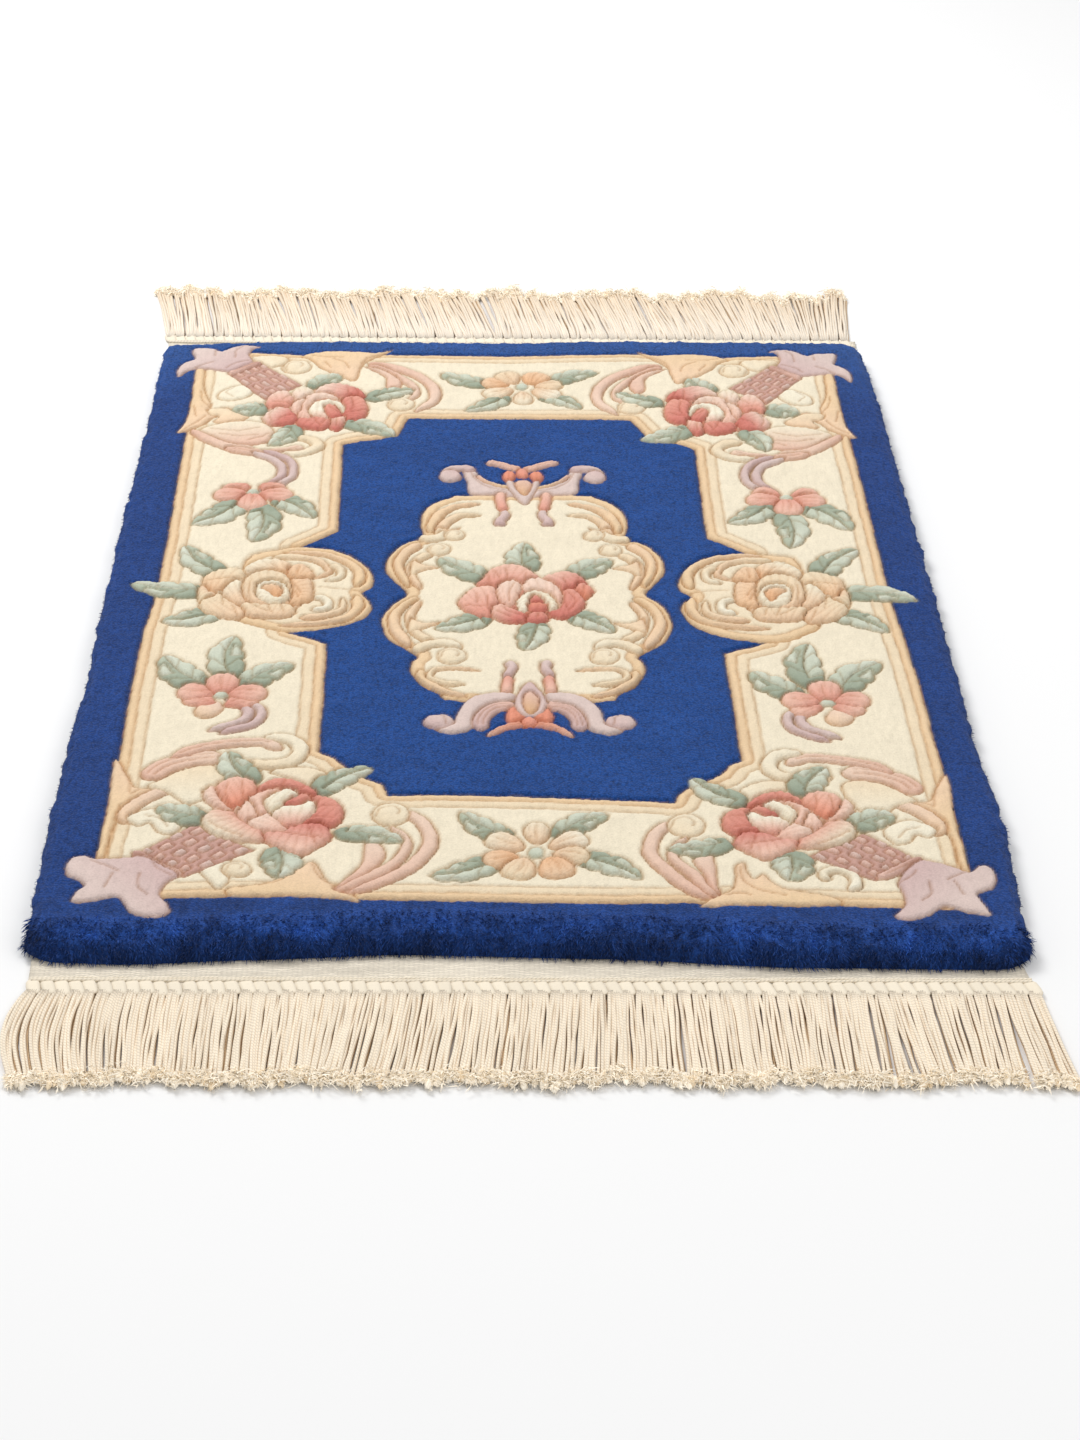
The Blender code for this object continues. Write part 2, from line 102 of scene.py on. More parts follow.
# %% Yarn colours
YARNS = {
    "blue": (0.105, 0.270, 0.530),
    "blue_deep": (0.110, 0.240, 0.485),
    "cream": (0.905, 0.860, 0.765),
    "cream_warm": (0.895, 0.820, 0.700),
    "ivory": (0.920, 0.890, 0.810),
    "tan": (0.885, 0.770, 0.620),
    "tan_deep": (0.825, 0.655, 0.480),
    "peach": (0.895, 0.775, 0.650),
    "peach_warm": (0.895, 0.745, 0.600),
    "apricot": (0.885, 0.700, 0.540),
    "rose_deep": (0.800, 0.490, 0.440),
    "rose_mid": (0.855, 0.605, 0.535),
    "rose_light": (0.900, 0.740, 0.665),
    "rose_pale": (0.905, 0.805, 0.735),
    "pink": (0.860, 0.710, 0.630),
    "pink_pale": (0.890, 0.785, 0.705),
    "coral": (0.865, 0.565, 0.465),
    "mauve": (0.830, 0.750, 0.720),
    "mauve_deep": (0.785, 0.675, 0.660),
    "basket": (0.765, 0.605, 0.555),
    "basket_pale": (0.865, 0.725, 0.670),
    "leaf_deep": (0.565, 0.605, 0.530),
    "leaf": (0.715, 0.740, 0.660),
    "leaf_pale": (0.830, 0.840, 0.775),
}


def linear(colour):
    """From the colour that the eye sees to linear light."""
    colour = np.asarray(colour, float)
    return np.where(colour <= 0.04045, colour / 12.92, ((colour + 0.055) / 1.055) ** 2.4)


YARN_LIGHT = {name: linear(colour) for name, colour in YARNS.items()}
# Pairs of shades that often run into each other, named after the first
TANS = ("tan", "peach")
PEACHES = ("peach", "tan")
WARM_PEACHES = ("peach", "cream_warm")
PALE_PEACHES = ("cream_warm", "peach")
CREAMS = ("cream", "cream_warm")
WARM_CREAMS = ("cream_warm", "cream")
IVORIES = ("cream", "ivory")
PINKS = ("pink", "pink_pale")
PALE_PINKS = ("pink_pale", "pink")
DEEP_MAUVES = ("mauve_deep", "mauve")
MAUVES = ("mauve", "mauve_deep")
LIGHT_ROSES = ("rose_light", "rose_pale")
DEEP_ROSES = ("rose_mid", "rose_deep")
FADED_ROSES = ("rose_mid", "rose_light")
print(len(YARNS), "yarns")

# %% [markdown]
# ## Drawing motifs
# A weaver reads a chart. Here the chart is a list of closed outlines in the order in which they cover each
# other, so an outline later in the list lies on top. Every leaf, petal, band and ball comes from a small
# function, because a motif then needs only its place, its size and its yarns. A crease is an open line that
# is only clipped, as along the rib of a leaf.

# %% Outline helpers
def smooth_loop(points, steps=5):
    """A closed soft line through the points."""
    p = np.asarray(points, float)
    before, after, later = np.roll(p, 1, 0), np.roll(p, -1, 0), np.roll(p, -2, 0)
    out = []
    for share in np.arange(steps) / steps:
        out.append(catmull(before, p, after, later, share))
    return np.stack(out, axis=1).reshape(-1, 2)


def catmull(a, b, c, d, t):
    """The place at share t between b and c on a soft line through all four."""
    bend, twist = 2 * a - 5 * b + 4 * c - d, 3 * b - a - 3 * c + d
    return 0.5 * (2 * b + (c - a) * t + bend * t ** 2 + twist * t ** 3)


def smooth_path(points, steps=6):
    """An open soft line through the points."""
    p = np.asarray(points, float)
    ends = np.concatenate([[2 * p[0] - p[1]], p, [2 * p[-1] - p[-2]]])
    out = [
        catmull(ends[i], ends[i + 1], ends[i + 2], ends[i + 3], share)
        for i in range(len(p) - 1)
        for share in np.arange(steps) / steps
    ]
    return np.array(out + [p[-1]])


def unit(vectors):
    """The same directions, all one unit long."""
    return vectors / np.maximum(np.linalg.norm(vectors, axis=-1, keepdims=True), 1e-9)


def sideways(path):
    """The unit direction to the left of a path, at each of its points."""
    along = unit(np.gradient(path, axis=0))
    return np.stack([-along[:, 1], along[:, 0]], axis=1)


def oval(centre, length, width, degrees=0.0, egg=0.0, steps=28):
    """An oval whose length lies along the given direction. A positive egg makes the far end wider."""
    angle = np.arange(steps) * 2 * np.pi / steps
    u, v = np.cos(angle), np.sin(angle) * (1 + egg * np.cos(angle))
    turn = math.radians(degrees)
    x, y = u * length / 2, v * width / 2
    return np.stack([
        centre[0] + x * math.cos(turn) - y * math.sin(turn),
        centre[1] + x * math.sin(turn) + y * math.cos(turn),
    ], axis=1)


# %% The chart
CHART = []


def knot(piece, outline, yarns, run=None, groove=2.3, reach=2.3, crown=1.0, dome=8.0, offset=0.0,
         pleat=0.0):
    """Adds a filled motif. yarns are its first and last shade, and run is the line they change along."""
    outline = np.asarray(outline, float)
    if run is None:
        run = (outline.min(axis=0), outline.max(axis=0))
    CHART.append({
        "piece": piece, "outline": outline, "yarns": yarns, "run": np.asarray(run, float), "groove": groove,
        "reach": reach, "crown": crown, "dome": dome, "offset": offset, "pleat": pleat,
    })


def crease(path, depth=1.4, reach=1.5):
    """Adds a clipped line on whatever lies there."""
    CHART.append({"piece": None, "outline": smooth_path(path), "groove": depth, "reach": reach})


class Spot:
    """A place for a group of motifs. Its points are read from home, and may be mirrored and stretched."""

    def __init__(self, x, y, out=1.0, away=1.0, home=(0, 0)):
        self.middle = np.array((x, y), float)
        self.turn = np.array((out, away), float)
        self.home = np.array(home, float)

    def at(self, points):
        return self.middle + self.turn * (np.asarray(points, float) - self.home)


# %% Leaves, petals, bands and balls
def shape(piece, spot, points, yarns, run=None, folds=(), soft=4, **how):
    """A free shape through the points, with folds, shaded along a run from its first yarn to its last."""
    run = None if run is None else spot.at(run)
    knot(piece, smooth_loop(spot.at(points), soft), yarns, run=run, **how)
    for fold in folds:
        crease(spot.at(fold))


def leaf(spot, tip, foot, width, bend=0.10, pale_side=1):
    """A broad notched leaf: a deep half and a pale half beside a clipped rib, with a vein to each notch."""
    tip, foot = spot.at(tip), spot.at(foot)
    pale_side *= np.sign(spot.turn[0] * spot.turn[1])
    along = tip - foot
    side = np.array((-along[1], along[0]))
    shares = np.linspace(0, 1, 19)
    rib = foot + along * shares[:, None] + np.sin(np.pi * shares)[:, None] * side * bend
    swell = np.sin(np.pi * np.minimum(shares * 0.95 + 0.05, 1) ** 0.9) ** 0.62
    notch = 1 - sum(0.20 * np.exp(-((shares - place) / 0.045) ** 2) for place in (0.44, 0.74))
    half = sideways(rib) * (swell * notch * width * 0.53)[:, None]
    left, right = rib + half, rib - half
    knot("leaves", np.concatenate([left, right[1:-1][::-1]]), ("leaf_deep", "leaf"), run=(foot, tip),
        crown=1.5, dome=6)
    part, other = (left, right) if pale_side > 0 else (right, left)
    inner = rib + (part - rib) * 0.06
    pale = np.concatenate([inner[3:], part[4:-1][::-1]])
    knot("leaves", pale, ("leaf", "leaf_pale"), run=(foot, tip), groove=2.0, reach=2.0, crown=1.8, dome=5)
    near, far = rib[9:15] * 0.7 + other[9:15] * 0.3, other[10:15] * 0.85 + rib[10:15] * 0.15
    knot("leaves", np.concatenate([near, far[::-1]]), ("leaf_pale", "leaf"), groove=1.4, reach=1.6,
        crown=1.6, dome=4)
    for place in (5, 11):
        for edge in (left, right):
            vein = edge[place + 3] * 0.8 + rib[place + 3] * 0.2
            crease((rib[place], (rib[place] + vein) / 2 - along * 0.02, vein), depth=1.2)


def petal(piece, middle, length, width, degrees, yarns, egg=0.25, folds=1, groove=2.4, crown=1.8):
    """A rounded petal that points along degrees, with a fold or two from its foot."""
    turn = math.radians(degrees)
    along = np.array((math.cos(turn), math.sin(turn)))
    across = np.array((-along[1], along[0]))
    middle = np.asarray(middle, float)
    outline = oval(middle, length, width, degrees, egg)
    run = (middle - along * length * 0.45, middle + along * length * 0.5)
    knot(piece, outline, yarns, run=run, groove=groove, reach=2.3, crown=crown, dome=8.0, pleat=5.0)
    for number in range(folds):
        lean = (number - (folds - 1) / 2) * 0.5 + 0.12
        start = middle - along * length * 0.3 + across * width * 0.1 * lean
        end = middle + along * length * 0.22 + across * width * 0.42 * lean
        crease((start, (start + end) / 2 + across * width * 0.05, end), depth=1.1)


def band(piece, spot, path, width, yarns, taper=(1.0, 1.0), lines=0):
    """A band along a soft path, with clipped lines that run along it."""
    path = smooth_path(spot.at(path))
    share = np.linspace(0, 1, len(path))
    swell = taper[0] + (taper[1] - taper[0]) * share
    swell = swell * np.minimum(1, np.sqrt(np.minimum(share, 1 - share) * 9 + 0.06))
    half = sideways(path) * (swell * width / 2)[:, None]
    outline = np.concatenate([path + half, (path - half)[::-1]])
    knot(piece, outline, yarns, run=(path[0], path[-1]), groove=2.6, reach=2.2, crown=1.5, dome=width / 2)
    for number in range(lines):
        lean = (number + 1) * 2 / (lines + 1) - 1
        inner = path[2:-2] + half[2:-2] * lean * 0.9
        crease(inner[:: max(1, len(inner) // 7)], depth=1.3)


def ball(spot, place, radius, yarns=WARM_CREAMS, squash=0.9):
    """A small round boss with the turn of its scroll clipped into it."""
    middle = spot.at(place)
    knot("scrolls", oval(middle, 2 * radius, 2 * squash * radius, 80), yarns, groove=2.0, reach=2.0,
        crown=1.8, dome=radius)
    turn = np.radians((200, 140, 80, 20, -30))
    curl = np.stack([np.cos(turn), np.sin(turn)], axis=1) * np.linspace(0.75, 0.35, 5)[:, None]
    crease(middle + curl * radius)


HERE = Spot(0, 0)

# %% [markdown]
# ## Grounds, borders and the blue field
# From the rim inwards the rug has a blue margin, a tan line, a cream line, the cream border and then the
# same lines again round the blue field. A line is the same outline drawn again a little further in, so an
# offset says how far. The field also has the stepped corners, and the blue wedges at the side medallions.

# %% Border chart
LINE_TAN = 7.5
LINE_CREAM = 16.0
BORDER_OUTER = (
    (-276, -404), (-230, -405), (-150, -402), (-110, -406), (-60, -407), (0, -409), (60, -410), (140, -409),
    (200, -412), (282, -417), (285, -370), (284, -300), (283.5, -160), (281, -80), (277.5, 0), (277.5, 160),
    (277, 270), (275, 300), (275.5, 385), (276, 437), (220, 438), (180, 434), (100, 440), (0, 434),
    (-110, 436), (-180, 434), (-274, 440), (-273, 390), (-272, 250), (-271, 100), (-271, 0), (-275, -60),
    (-276, -160), (-274, -300), (-277, -350))
FIELD_EDGE = (
    (-91, -284), (-60, -283), (0, -285), (50, -288), (99, -292), (103, -281), (109, -273), (120, -266),
    (132, -257), (140, -243), (148, -238), (147, -160), (147, -90), (179, -74), (175, 65), (146, 92),
    (146, 160), (147, 250), (138, 257), (112, 267), (107, 276), (101, 293), (96, 305), (40, 306),
    (-20, 305), (-90, 306), (-94, 288), (-99, 271), (-112, 265), (-128, 261), (-142, 254), (-141, 180),
    (-140, 100), (-168, 73), (-170, -62), (-141, -79), (-140, -150), (-140, -228), (-129, -236),
    (-120, -250), (-106, -263), (-95, -270))

FULL = {"groove": 3.0, "reach": 3.6, "crown": 0.0}
FINE = {"groove": 1.5, "reach": 2.0, "crown": 0.0}
knot("bands", BORDER_OUTER, ("tan", "tan"), **FULL)
knot("ground", BORDER_OUTER, ("cream_warm", "cream_warm"), offset=-LINE_TAN, **FINE)
knot("ground", BORDER_OUTER, ("cream", "cream"), offset=-LINE_CREAM, **FINE)
knot("ground", FIELD_EDGE, ("cream_warm", "cream_warm"), offset=LINE_CREAM, **FINE)
knot("bands", FIELD_EDGE, ("tan", "tan"), offset=LINE_TAN, **FINE)
knot("field", FIELD_EDGE, ("blue", "blue"), **FULL)

# %% [markdown]
# ## The roses
# Each corner holds a full rose. Its deep petals face the middle of the rug and its pale ones the corner.
# A rose could be rings of equal petals, but the real ones overlap unevenly and fold round a cream crescent
# and a deep heart. So each kind of rose is a short chart of its own, from the rim inwards. The kinds are:
# one for the front corners, one for the back corners, one for the middle and a pale one for the sides.

# %% Rose charts
FRONT_ROSE = (
    # yarns, where their shading runs, outline, folds. Read at the left front corner
    (LIGHT_ROSES, ((-150, -300), (-200, -330)), (
        (-205, -284), (-190, -272), (-165, -274), (-145, -284), (-130, -300), (-128, -325), (-140, -345),
        (-160, -345), (-180, -338), (-202, -330), (-206, -308)), ()),
    (DEEP_ROSES, ((-165, -262), (-150, -295)), (
        (-183, -290), (-178, -274), (-165, -264), (-150, -269), (-140, -280), (-137, -294), (-160, -300)), (
            ((-163, -280), (-160, -268)), ((-152, -286), (-147, -275)), ((-171, -284), (-172, -273)))),
    (DEEP_ROSES, ((-125, -290), (-150, -318)), (
        (-147, -288), (-133, -287), (-123, -296), (-120, -310), (-124, -323), (-138, -328), (-152, -322),
        (-152, -300)), (
            ((-143, -305), (-134, -302), (-126, -302)), ((-142, -315), (-128, -316)),
            ((-136, -293), (-139, -303)))),
    (("rose_light", "coral"), ((-200, -268), (-190, -298)), (
        (-208, -279), (-203, -268), (-194, -263), (-184, -266), (-178, -276), (-181, -289), (-190, -300),
        (-195, -304), (-202, -296)), (
            ((-196, -300), (-199, -285), (-198, -273)), ((-187, -290), (-189, -271)))),
    (LIGHT_ROSES, ((-200, -290), (-214, -290)), (
        (-208, -274), (-204, -284), (-199, -296), (-192, -305), (-205, -301), (-213, -292),
        (-214, -281)), ()),
    (("rose_mid", "cream"), ((-180, -318), (-200, -336)), (
        (-211, -308), (-203, -304), (-190, -308), (-178, -318), (-170, -330), (-171, -341), (-180, -343),
        (-192, -340), (-205, -333), (-213, -320)), (
            ((-208, -320), (-196, -331), (-184, -338)), ((-194, -312), (-184, -321), (-178, -328)))),
    (("rose_deep", "rose_light"), ((-146, -322), (-150, -350)), (
        (-171, -330), (-160, -325), (-145, -321), (-134, -321), (-127, -330), (-127, -339), (-136, -350),
        (-147, -358), (-160, -350), (-169, -342)), (
            ((-166, -331), (-150, -336), (-134, -339)), ((-142, -328), (-137, -345)))),
    (LIGHT_ROSES, ((-172, -300), (-190, -300)), (
        (-184, -292), (-176, -282), (-164, -277), (-156, -282), (-168, -296), (-171, -312),
        (-179, -312)), ()),
    (LIGHT_ROSES, ((-182, -318), (-184, -295)), (
        (-191, -309), (-187, -297), (-184, -291), (-179, -300), (-176, -315), (-183, -320)), ()),
    (LIGHT_ROSES, ((-160, -325), (-175, -312)), (
        (-183, -319), (-176, -311), (-167, -307), (-159, -311), (-153, -322), (-159, -331),
        (-172, -330)), ()),
    (IVORIES, ((-170, -305), (-155, -282)), (
        (-174, -296), (-169, -285), (-159, -278), (-152, -282), (-150, -290), (-160, -298),
        (-166, -309)), ()),
    (DEEP_ROSES, ((-145, -286), (-158, -296)), (
        (-161, -297), (-155, -289), (-148, -284), (-141, -290), (-143, -296), (-152, -299)), ()),
    (("rose_mid", "ivory"), ((-154, -325), (-155, -303)), (
        (-168, -309), (-160, -299), (-150, -298), (-142, -292), (-138, -299), (-141, -312), (-149, -322),
        (-156, -326), (-163, -317)), ()),
)
BACK_ROSE = (
    # yarns, where their shading runs, outline, folds. Read at the right back corner
    (("rose_mid", "rose_pale"), ((150, 310), (200, 345)), (
        (132, 320), (138, 350), (160, 362), (190, 352), (208, 340), (206, 300), (190, 288), (165, 282),
        (140, 300)), ()),
    (("rose_deep", "rose_pale"), ((138, 348), (166, 362)), (
        (129, 341), (131, 355), (142, 366), (155, 370), (167, 364), (174, 350), (165, 343), (150, 341)), (
            ((143, 345), (144, 358)), ((134, 345), (137, 357)))),
    (("rose_deep", "rose_mid"), ((145, 315), (128, 330)), (
        (131, 342), (146, 341), (151, 325), (148, 304), (141, 295), (131, 296), (126, 306), (125, 322)), (
            ((128, 314), (136, 309), (144, 307)), ((140, 337), (138, 320), (140, 312)))),
    (("rose_light", "rose_deep"), ((150, 296), (148, 278)), (
        (144, 304), (150, 301), (159, 296), (158, 282), (151, 273), (145, 282), (143, 293)), (
            ((151, 296), (151, 280)),)),
    (DEEP_ROSES, ((163, 300), (172, 280)), (
        (158, 299), (170, 302), (183, 303), (184, 290), (179, 280), (168, 275), (160, 277), (156, 286)), (
            ((170, 299), (167, 287), (163, 281)), ((160, 295), (163, 285)))),
    (("rose_mid", "rose_pale"), ((196, 325), (200, 350)), (
        (188, 342), (196, 355), (206, 350), (212, 335), (210, 320), (201, 317), (192, 320), (189, 333)), (
            ((192, 327), (205, 328)), ((192, 342), (198, 332)))),
    (("rose_pale", "cream"), ((180, 342), (180, 360)), (
        (172, 352), (178, 362), (187, 360), (192, 350), (189, 340), (180, 337)), ()),
    (("rose_deep", "rose_pale"), ((192, 300), (208, 308)), (
        (184, 309), (190, 316), (201, 321), (208, 312), (213, 300), (209, 287), (198, 283), (188, 286),
        (183, 298)), (
            ((201, 318), (207, 304), (205, 290)), ((186, 303), (196, 298), (200, 290)))),
    (LIGHT_ROSES, ((175, 300), (160, 345)), (
        (148, 330), (154, 345), (165, 350), (177, 345), (184, 330), (186, 312), (183, 299), (172, 298),
        (176, 320), (168, 336), (158, 337)), (
            ((152, 337), (164, 337), (172, 334)),)),
    (LIGHT_ROSES, ((186, 308), (183, 335)), (
        (178, 338), (184, 336), (190, 328), (191, 317), (187, 307), (182, 312), (181, 326)), ()),
    (("rose_light", "ivory"), ((168, 299), (168, 312)), (
        (145, 318), (149, 331), (160, 336), (171, 331), (176, 318), (173, 306), (165, 299), (158, 299),
        (160, 312), (162, 322), (155, 327), (149, 317), (146, 310)), ()),
    (("rose_deep", "rose_mid"), ((152, 302), (160, 324)), (
        (146, 305), (149, 315), (157, 327), (163, 322), (160, 307), (155, 299), (149, 300)), (
            ((150, 309), (158, 318)),)),
)
MIDDLE_ROSE = (
    # yarns, where their shading runs, outline, folds
    (("rose_mid", "rose_mid"), ((0, -30), (0, 30)), (
        (-30, 10), (-10, 30), (20, 22), (40, 12), (46, -12), (35, -34), (10, -42), (-15, -36), (-38, -25),
        (-40, -5)), ()),
    (FADED_ROSES, ((-12, 12), (-8, 38)), (
        (-33, 11), (-29, 20), (-23, 35), (-10, 43), (2, 41), (11, 31), (15, 22), (6, 10), (-15, 4)), (
            ((-23, 12), (-24, 27)), ((-14, 14), (-19, 29)), ((-9, 18), (-11, 34)), ((3, 14), (5, 27)))),
    (("rose_deep", "rose_light"), ((40, 6), (24, 26)), (
        (13, 20), (22, 27), (32, 33), (43, 29), (49, 20), (51, 11), (42, 4), (32, 3), (22, 12)), (
            ((36, 6), (33, 19)), ((43, 8), (44, 20)))),
    (("coral", "rose_mid"), ((48, -8), (50, 10)), (
        (46, 14), (52, 11), (56, 2), (52, -7), (47, -13), (42, -5), (41, 6)), (
            ((47, -5), (49, 8)),)),
    (("rose_deep", "rose_mid"), ((32, -36), (42, 0)), (
        (33, 4), (41, 3), (47, -8), (49, -18), (45, -30), (38, -39), (30, -43), (23, -38), (21, -29),
        (28, -16)), (
            ((36, -4), (41, -17), (36, -32)), ((31, -12), (34, -27)))),
    (FADED_ROSES, ((-24, -32), (-36, 0)), (
        (-47, -15), (-42, -4), (-35, 6), (-22, 9), (-16, 2), (-15, -10), (-18, -26), (-22, -39), (-32, -39),
        (-43, -28)), (
            ((-44, -23), (-30, -26), (-22, -24)), ((-25, -10), (-24, -30)), ((-33, -6), (-32, -20)))),
    (("rose_light", "rose_deep"), ((-18, -26), (0, -40)), (
        (-19, -21), (-11, -21), (0, -31), (7, -37), (6, -47), (-8, -49), (-19, -41), (-22, -31)), (
            ((-14, -25), (-7, -35), (4, -40)), ((-18, -32), (-8, -42)))),
    (DEEP_ROSES, ((12, -32), (12, -46)), (
        (5, -37), (10, -30), (19, -32), (21, -44), (12, -49), (4, -47)), (
            ((12, -42), (14, -34)),)),
    (LIGHT_ROSES, ((-8, -20), (-8, 14)), (
        (-18, 0), (-15, 12), (-7, 18), (-1, 15), (3, 7), (0, -2), (-2, -14), (-6, -24), (-13, -20),
        (-17, -11)), (
            ((-4, 12), (-8, -3), (-8, -18)),)),
    (LIGHT_ROSES, ((18, -24), (12, 16)), (
        (1, 6), (5, 18), (12, 22), (21, 18), (29, 8), (32, -3), (31, -16), (27, -30), (21, -24), (15, -1),
        (6, -3)), ()),
    (("ivory", "cream"), ((0, -25), (24, -15)), (
        (-3, -18), (0, -7), (6, 0), (13, 1), (21, -3), (26, -12), (28, -25), (21, -29), (14, -20), (5, -31),
        (-1, -30)), ()),
    (("rose_deep", "rose_mid"), ((12, -16), (12, -5)), (
        (6, -16), (10, -5), (15, -9), (18, -17), (12, -19)), ()),
    (("coral", "rose_deep"), ((12, -18), (12, -30)), (
        (5, -19), (12, -17), (20, -20), (20, -29), (14, -32), (6, -30)), ()),
)
SIDE_ROSE = (
    # yarns, where their shading runs, outline, folds. Read at the left side
    (("peach", "cream"), ((-190, 0), (-230, 20)), (
        (-212, 28), (-190, 40), (-170, 32), (-158, 10), (-160, -18), (-178, -36), (-205, -38), (-226, -30),
        (-232, 5)), ()),
    (("peach_warm", "cream"), ((-183, 26), (-195, 44)), (
        (-211, 27), (-206, 42), (-196, 50), (-183, 50), (-173, 42), (-174, 30), (-177, 20), (-190, 26),
        (-202, 28)), (
            ((-188, 40), (-181, 30)),)),
    (("peach_warm", "peach"), ((-166, 22), (-160, 38)), (
        (-175, 22), (-174, 38), (-165, 43), (-158, 35), (-155, 24), (-162, 19)), (
            ((-168, 23), (-166, 35)),)),
    (("peach_warm", "peach"), ((-170, 0), (-156, 8)), (
        (-175, 18), (-166, 17), (-157, 18), (-154, 0), (-155, -15), (-163, -21), (-172, -24), (-172, -8)), (
            ((-172, 12), (-167, 3), (-163, -8)), ((-168, -3), (-165, -13)))),
    (WARM_PEACHES, ((-186, -40), (-186, -22)), (
        (-208, -22), (-195, -19), (-180, -21), (-169, -22), (-166, -34), (-173, -42), (-186, -43),
        (-199, -41), (-207, -31)), (
            ((-187, -24), (-183, -37)), ((-177, -25), (-174, -36)),
            ((-201, -22), (-192, -31), (-186, -35)))),
    (("peach_warm", "cream_warm"), ((-228, 0), (-222, 28)), (
        (-239, 12), (-237, 24), (-226, 33), (-214, 36), (-207, 28), (-208, 18), (-216, 12), (-222, 1),
        (-230, -5), (-238, 3)), (
            ((-236, 11), (-227, 14), (-214, 18)),)),
    (WARM_PEACHES, ((-230, -4), (-238, -12)), (
        (-241, 1), (-236, 7), (-230, -4), (-222, -6), (-228, -15), (-238, -20)), ()),
    (PALE_PEACHES, ((-232, -14), (-210, -38)), (
        (-238, -20), (-230, -11), (-222, -4), (-214, -18), (-207, -26), (-203, -37), (-208, -45),
        (-220, -43), (-233, -35)), (
            ((-222, -10), (-220, -25)), ((-213, -27), (-208, -42)))),
    (("peach", "cream"), ((-208, -16), (-214, 8)), (
        (-223, -5), (-220, 8), (-213, 16), (-207, 11), (-207, -5), (-203, -20), (-210, -23),
        (-218, -15)), ()),
    (WARM_PEACHES, ((-188, -20), (-190, 28)), (
        (-208, 14), (-201, 28), (-188, 32), (-176, 25), (-171, 10), (-170, -8), (-173, -20), (-185, -24),
        (-199, -21), (-207, -8)), (
            ((-203, 12), (-202, -4), (-201, -16)),)),
    (IVORIES, ((-176, -10), (-195, 10)), (
        (-198, 5), (-193, 14), (-182, 15), (-174, 7), (-171, -8), (-176, -19), (-186, -21),
        (-195, -13)), ()),
    (("apricot", "peach"), ((-184, -4), (-190, 8)), (
        (-194, 5), (-187, 10), (-179, 6), (-177, -3), (-181, -13), (-188, -4)), (
            ((-180, -8), (-176, -14)),)),
)


def ruffled(outline, deep=1.1, pitch=7.0):
    """A petal's edge, pinched in a little at even steps along it."""
    step = np.linalg.norm(np.roll(outline, -1, axis=0) - outline, axis=1)
    share = (np.cumsum(step) - step) / step.sum()
    wave = np.abs(np.sin(np.pi * share * round(step.sum() / pitch)))
    inward = unit(outline.mean(axis=0) - outline)
    return outline + inward * ((0.75 - wave) * deep)[:, None]


def rose(spot, chart):
    """Adds a rose from its chart."""
    for yarns, run, outline, folds in chart:
        edge = ruffled(smooth_loop(spot.at(outline), 8))
        knot("roses", edge, yarns, run=spot.at(run), groove=2.8, reach=2.3, crown=2.2, dome=6.5, pleat=5.5)
        for fold in folds:
            crease(spot.at(fold))


# %% [markdown]
# ## The corner groups
# Round each corner rose lie five leaves, a woven basket with a ruffled tail that runs over the blue margin,
# and scrolls of acanthus. The left and right corners mirror each other, so there are two charts, one for
# the front and one for the back, and each spot stretches its chart as the weaver did.

# %% Woven baskets
CELL = np.array(((-1, -0.8), (-0.8, -1), (0.8, -1), (1, -0.8), (1, 0.8), (0.8, 1), (-0.8, 1), (-1, 0.8)))


def basket(spot, corners, across=4, along=4):
    """Woven slats: raised cells in staggered rows, in two mauve shades, inside four corners."""
    quad = spot.at(corners)
    knot("baskets", quad, ("basket", "basket"), crown=0.4)
    lie = quad[3] - quad[0]
    turn = math.atan2(lie[1], lie[0])
    turned = np.array(((math.cos(turn), math.sin(turn)), (-math.sin(turn), math.cos(turn))))
    for row in range(along):
        for column in range(across):
            u = (column + 0.5 + 0.4 * (row % 2 - 0.5)) / across
            v = (row + 0.5) / along
            near, far = quad[0] * (1 - u) * (1 - v) + quad[1] * u * (1 - v), quad[2] * u * v
            middle = near + far + quad[3] * (1 - u) * v
            pale = ("basket_pale", "mauve") if (column + row) % 2 == 0 else ("basket_pale", "basket_pale")
            long = 0.72 * np.linalg.norm(lie) / along
            wide = 0.56 * np.linalg.norm(quad[1] - quad[0]) / across
            cell = middle + CELL * (long / 2, wide / 2) @ turned
            knot("baskets", cell, pale, groove=2.0, reach=2.0, crown=1.4, dome=4)


# %% Front corners
MAUVE_LEFT = (
    (-294, -362), (-284, -358), (-276, -362), (-262, -361), (-248, -359), (-238, -365), (-222, -380),
    (-229, -389), (-232, -402), (-227, -411), (-224, -421), (-231, -427), (-241, -427), (-250, -421),
    (-257, -407), (-263, -406), (-274, -410), (-287, -411), (-286, -400), (-281, -393), (-285, -387),
    (-294, -379))
LEAF_LEFT = (
    (-190, -395), (-172, -391), (-158, -383), (-146, -371), (-138, -364), (-132, -375), (-127, -388),
    (-115, -396), (-106, -410), (-120, -406), (-150, -404), (-186, -404))
LEAF_RIGHT = (
    (-93, -410), (-104, -397), (-115, -390), (-118, -375), (-119, -361), (-125, -356), (-127, -368),
    (-130, -377), (-137, -370), (-141, -378), (-149, -387), (-167, -393), (-183, -399), (-185, -407),
    (-153, -409), (-122, -408))
FOLDS_LEFT = (
    ((-138, -368), (-134, -380), (-128, -390)), ((-170, -392), (-156, -386), (-148, -374)), ((-126, -392),
    (-118, -399), (-110, -405)))
FOLDS_RIGHT = (
    ((-122, -364), (-123, -380), (-132, -392), (-150, -398)), ((-108, -398), (-118, -396), (-126, -398)))
